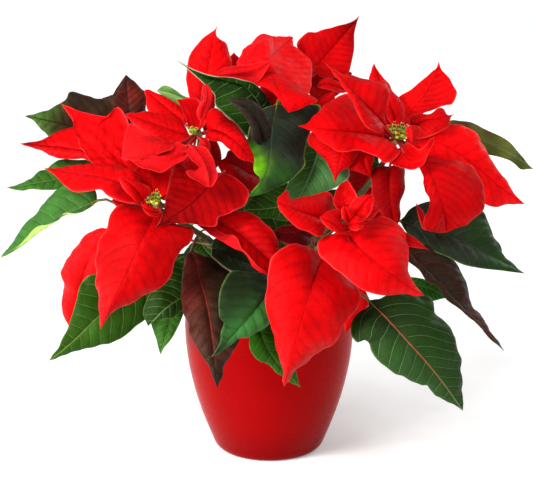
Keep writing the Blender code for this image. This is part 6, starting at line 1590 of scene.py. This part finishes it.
def urn(piece, at, axis, out, size, seed):
    rng = np.random.RandomState(seed)
    axis = unit(axis)

    def frill(r, h, ang, f):
        lip = ease(0.55, 0.68, f) * (1 - ease(0.80, 0.95, f))
        return r * (1 + 0.10 * lip * np.cos(5 * ang + seed)), h + 0.22 * lip * np.cos(5 * ang + seed)

    rows = len(URN)
    heights = np.array([h for _, h in URN])
    mouth = ease(3.7, 4.4, heights)[:, None]
    col = LIME * (1 - mouth) + DARK_RED * mouth
    col = col * (0.75 + 0.25 * ease(-0.5, 2.5, heights))[:, None]
    turned(piece, URN, 14, 0, np.repeat(col, 14, axis=0), axis=axis, centre=at, dent=frill, scale=0.001 * size)
    side = unit(out - axis * np.dot(out, axis)) if np.linalg.norm(out) > 1e-6 else unit(np.cross(axis, [1, 0, 0.2]))
    # the nectar lip on the outer side
    lip_at = at + (axis * 3.0 + side * 1.45) * 0.001 * size
    lip = [(0.05, -0.7), (0.7, -0.55), (1.05, 0.0), (1.0, 0.42), (0.72, 0.55), (0.45, 0.30), (0.05, 0.16)]
    turned(piece, lip, 12, 0, YELLOW, axis=unit(side + axis * 0.55), centre=lip_at, scale=0.001 * size)
    for j in range(5):
        a = 2 * math.pi * j / 5 + rng.rand()
        u = unit(np.cross(axis, [1.0, 0.3, 0.1]))
        w = np.cross(axis, u)
        d = unit(axis + 0.35 * (u * math.cos(a) + w * math.sin(a)))
        tip = at + axis * 0.0038 * size + d * (0.0017 + 0.0006 * rng.rand()) * size
        tube(piece, np.linspace(at + axis * 0.0036 * size, tip, 4), [0.00016 * size] * 4, 6, 0, FILAMENT)
        turned(piece, [(0.03, -0.32), (0.26, -0.14), (0.30, 0.06), (0.2, 0.24), (0.03, 0.32)], 8, 0,
               YELLOW if j % 2 else lin(170, 30, 24), axis=d, centre=tip, scale=0.001 * size)


for h in sorted(HEADS):
    rose = Piece("rosette_%s_bracts" % h)
    axis = unit(np.array(FACE[h], float))
    knob = [(0.05, -4.2), (2.0, -3.8), (3.2, -2.6), (4.0, -1.0), (4.1, 0.4), (3.6, 2.0), (2.6, 3.2), (1.4, 3.8), (0.05, 4.0)]
    turned(rose, knob, 20, 1, lin(110, 92, 44), axis=axis, centre=head_point(h, -3.0))
    for lf in LEAVES:
        if lf["name"] in GROUPED and lf["head"] == h:
            blade_skin(rose, lf, True)
    rose.make([bract_skin, stalk_skin], ["rosette_" + h])

    count, spread = HEAD_KIT[h]
    side = unit(np.cross(axis, np.array([1.0, 0.2, 0.0])))
    other = np.cross(axis, side)
    bunch = Piece("cyathia_%s_flowers" % h)
    r = spread * 0.75 + 1.2
    seat = [(0.05, -1.6), (r * 0.7, -1.2), (r, -0.2), (r * 0.9, 0.8), (r * 0.5, 1.5), (0.05, 1.7)]
    turned(bunch, seat, 18, 0, lin(110, 120, 44), axis=axis, centre=head_point(h, 3.6))
    for k in range(count):
        rr = spread / 1000.0 * math.sqrt((k + 0.4) / count)
        ang = 2.39996 * k
        out = side * math.cos(ang) + other * math.sin(ang)
        lean = unit(axis + out * 0.5 * rr / (spread / 1000.0))
        at = head_point(h, 3.8) + out * rr * 0.85 + lean * 0.0002
        urn(bunch, at, lean, out, URN_SIZE[h] * (1.0 if k else 1.08), seed_of(h) + k)
    bunch.make([flower_skin], ["cyathia_" + h])


# ---------------------------------------------------------------- pot
def inner_radius(z):
    rs = [r for r, _ in POT_OUTER]
    zs = [h for _, h in POT_OUTER]
    return float(np.interp(z, zs, rs)) - POT_WALL


def rounded(points, per):
    """A smooth line through profile points."""
    p = np.array(points, float)
    q = spline(np.concatenate([p, np.zeros((len(p), 1))], axis=1), np.linspace(0, 1, per))
    return [(float(a), float(b)) for a, b, _ in q]


pot = Piece("pot_glazed")
outer = rounded([(POT_HEEL - 0.5, 0.9)] + POT_OUTER + [(69.75, POT_HEIGHT - 1.6)], 70)
profile = [(0.05, 0.9), (36.0, 0.9), (36.8, 0.25), (37.6, 0.0), (POT_FOOT, 0.0), (POT_FOOT + 2.6, 0.15)]
profile += outer
lip = []
for k in range(9):
    a = math.pi * k / 8
    lip.append((67.55 + 2.15 * math.cos(a), POT_HEIGHT - 1.9 + 1.9 * math.sin(a)))
profile += lip[1:]
profile += [(inner_radius(z), z) for z in (126.0, 122.0, 118.0, 112.0, 106.0)]
profile += [(inner_radius(z), z) for z in (80.0, 55.0, 30.0, 12.0)]
profile += [(inner_radius(12.0) - 4.0, POT_FLOOR + 1.0), (inner_radius(12.0) - 7.0, POT_FLOOR), (0.05, POT_FLOOR)]
turned(pot, profile, 144, 0, (0.5, 0.01, 0.01))
rows = len(profile)
count = 0
for i in range(rows - 1):
    for j in range(144):
        if i < 4:
            pot.mats[count] = 1
        count += 1
pot.make([glaze, clay], ["pot"], angle=40)

# ---------------------------------------------------------------- soil
soil = Piece("soil_crumbs")
ring = [(0.05, 9.0)]
prof = [(5.0, SOIL_TOP + 0.9)]
rings, around = 46, 150
rr = np.linspace(TRUNK_RADIUS - 0.8, inner_radius(SOIL_TOP - 1.0) - 0.35, rings)
ang = np.linspace(0, 2 * math.pi, around, endpoint=False)
gx, gy = rr[:, None] * np.cos(ang), rr[:, None] * np.sin(ang)
flat = np.stack([gx, gy, 0 * gx], -1) / 1000.0
level = SOIL_TOP + 1.6 - 1.3 * (rr[:, None] / rr[-1]) ** 2 - 1.8 * ease(0.9, 1.0, rr / rr[-1])[:, None]
level = level + 0.9 * ripple(flat, 0.024, 4) + 0.55 * ripple(flat, 0.007, 5) + 0.35 * ripple(flat, 0.0035, 6)
level = np.minimum(level, SOIL_TOP + 2.4)
topv = np.stack([gx, gy, level], -1) / 1000.0
under = topv[-1].copy()
under[:, 2] = 0.100
low = under * np.array([0.02, 0.02, 1.0])
grid = np.concatenate([topv, under[None], low[None]])
core = topv[0].copy()
core[:, 2] = 0.104
core = core * np.array([0.05, 0.05, 1.0])
grid = np.concatenate([core[None], grid])
faces, local = [], []
gr = len(grid)
for i in range(gr - 1):
    for j in range(around):
        k = (j + 1) % around
        faces.append((i * around + j, (i + 1) * around + j, (i + 1) * around + k, i * around + k))
        local += [(i / gr, j / around), ((i + 1) / gr, j / around), ((i + 1) / gr, (j + 1) / around), (i / gr, (j + 1) / around)]
soil.add(grid.reshape(-1, 3), faces, 0, local, lin(66, 48, 34))
rng = np.random.RandomState(12)
for k in range(240):
    a, q = rng.rand() * 2 * math.pi, math.sqrt(rng.rand()) * 57.0 + 6.5
    size = 0.8 + 2.0 * rng.rand() ** 2
    i = int(np.clip(np.searchsorted(rr, q), 0, rings - 1))
    j = int(a / (2 * math.pi) * around) % around
    c = topv[i, j] + np.array([0, 0, size * 0.0002])
    if k % 9 == 0:
        col, sc = lin(196, 190, 176), size * 0.8
    elif k % 4 == 0:
        col, sc = lin(98, 68, 42), size
    else:
        col, sc = lin(58, 42, 30), size
    lump = [(0.04, -0.8), (0.6, -0.6), (0.95, -0.1), (0.85, 0.4), (0.45, 0.75), (0.04, 0.85)]
    tilt = unit(rng.normal(size=3))
    s1, s2 = rng.rand() * 6.28, rng.rand() * 6.28

    def knobbly(r, h, an, f, s1=s1, s2=s2):
        return r * (1 + 0.22 * np.sin(2 * an + s1) + 0.15 * np.sin(3 * an + s2)), h * (1 + 0.2 * np.sin(an + s1))

    turned(soil, lump, 7, 0, col, axis=tilt, centre=c, dent=knobbly, scale=0.001 * sc)
soil.make([peat], ["soil"], angle=70)

# ---------------------------------------------------------------- stage
floor_mesh = bpy.data.meshes.new("studio_floor")
n_ring, n_side = 14, 64
fv, ff = [(0.0, 0.0, 0.0)], []
for i in range(1, n_ring + 1):
    r = 9.0 * (i / n_ring) ** 1.6
    for j in range(n_side):
        a = 2 * math.pi * j / n_side
        fv.append((r * math.cos(a), r * math.sin(a), 0.0))
for j in range(n_side):
    ff.append((0, 1 + j, 1 + (j + 1) % n_side))
for i in range(n_ring - 1):
    for j in range(n_side):
        k = (j + 1) % n_side
        a, b = 1 + i * n_side, 1 + (i + 1) * n_side
        ff.append((a + j, b + j, b + k, a + k))
floor_mesh.from_pydata(fv, [], ff)
floor = bpy.data.objects.new("studio_floor", floor_mesh)
bpy.context.scene.collection.objects.link(floor)
mat, nt, out = new_material("pale_floor")
g = Net(nt)
grain = g.node("TexNoise", Vector=g.place(30.0), Scale=1.0, Detail=3.0).outputs["Fac"]
tone = g.mix(g.ramp(grain, 0.3, 0.7), (0.86, 0.86, 0.86, 1.0), (0.90, 0.90, 0.90, 1.0))
bsdf = g.node("BsdfPrincipled", Base_Color=tone, Roughness=0.9)
bsdf.inputs["Specular IOR Level"].default_value = 0.05
bsdf.inputs["Emission Color"].default_value = (1.0, 1.0, 1.0, 1.0)
# the floor glows as a light of its own, more strongly further out: painted light
far = g.node("VectorMath", _operation="LENGTH", i0=g.node("TexCoord").outputs["Object"]).outputs["Value"]
nt.links.new(g.ramp(far, 0.3, 2.6, 0.20, 0.62), bsdf.inputs["Emission Strength"])
nt.links.new(bsdf.outputs[0], out.inputs["Surface"])
floor_mesh.materials.append(mat)
floor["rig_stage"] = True

world_ = bpy.data.worlds.new("studio")
bpy.context.scene.world = world_
world_.use_nodes = True
bg = next(n for n in world_.node_tree.nodes if n.type == "BACKGROUND")
bg.inputs["Color"].default_value = (1.0, 1.0, 1.0, 1.0)
bg.inputs["Strength"].default_value = AMBIENT = 0.38


def area_light(name, at, aim, size, power, colour=(1, 1, 1)):
    data = bpy.data.lights.new(name, "AREA")
    data.shape = "RECTANGLE"
    data.size, data.size_y = size
    data.energy = power
    data.color = colour
    obj = bpy.data.objects.new(name, data)
    bpy.context.scene.collection.objects.link(obj)
    from mathutils import Vector
    d = Vector(aim) - Vector(at)
    obj.location = at
    obj.rotation_mode = "QUATERNION"
    obj.rotation_quaternion = d.to_track_quat("-Z", "Y")
    return obj


area_light("key_softbox", (-1.15, -1.05, 1.35), (0.0, 0.0, 0.17), (0.6, 0.6), 38.0)
area_light("left_softbox", (-1.30, -0.80, 0.24), (0.0, 0.0, 0.05), (0.8, 0.45), 30.0)
area_light("right_softbox", (0.95, -1.0, 1.5), (0.0, 0.0, 0.20), (0.7, 0.7), 15.0)
area_light("rim_softbox", (1.0, 0.95, 0.75), (0.0, 0.0, 0.15), (0.6, 0.8), 8.0)

# ---------------------------------------------------------------- camera
cam_data = bpy.data.cameras.new("camera")
cam = bpy.data.objects.new("camera", cam_data)
bpy.context.scene.collection.objects.link(cam)
cam_data.sensor_width = 36.0
cam_data.lens = FOC * 36.0 / 533.0
cam.location = EYE
cam.rotation_mode = "XYZ"
cam.rotation_euler = (math.radians(90.0) - EL, 0.0, 0.0)
cam_data.clip_end = 50.0
bpy.context.scene.camera = cam
view = bpy.context.scene.view_settings
view.view_transform = "Standard"
view.look = "None"

for o in bpy.context.scene.objects:
    if o.type == "MESH" and "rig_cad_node" not in o and not o.get("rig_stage"):
        print(o.name, len(o.data.polygons))
low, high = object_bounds()
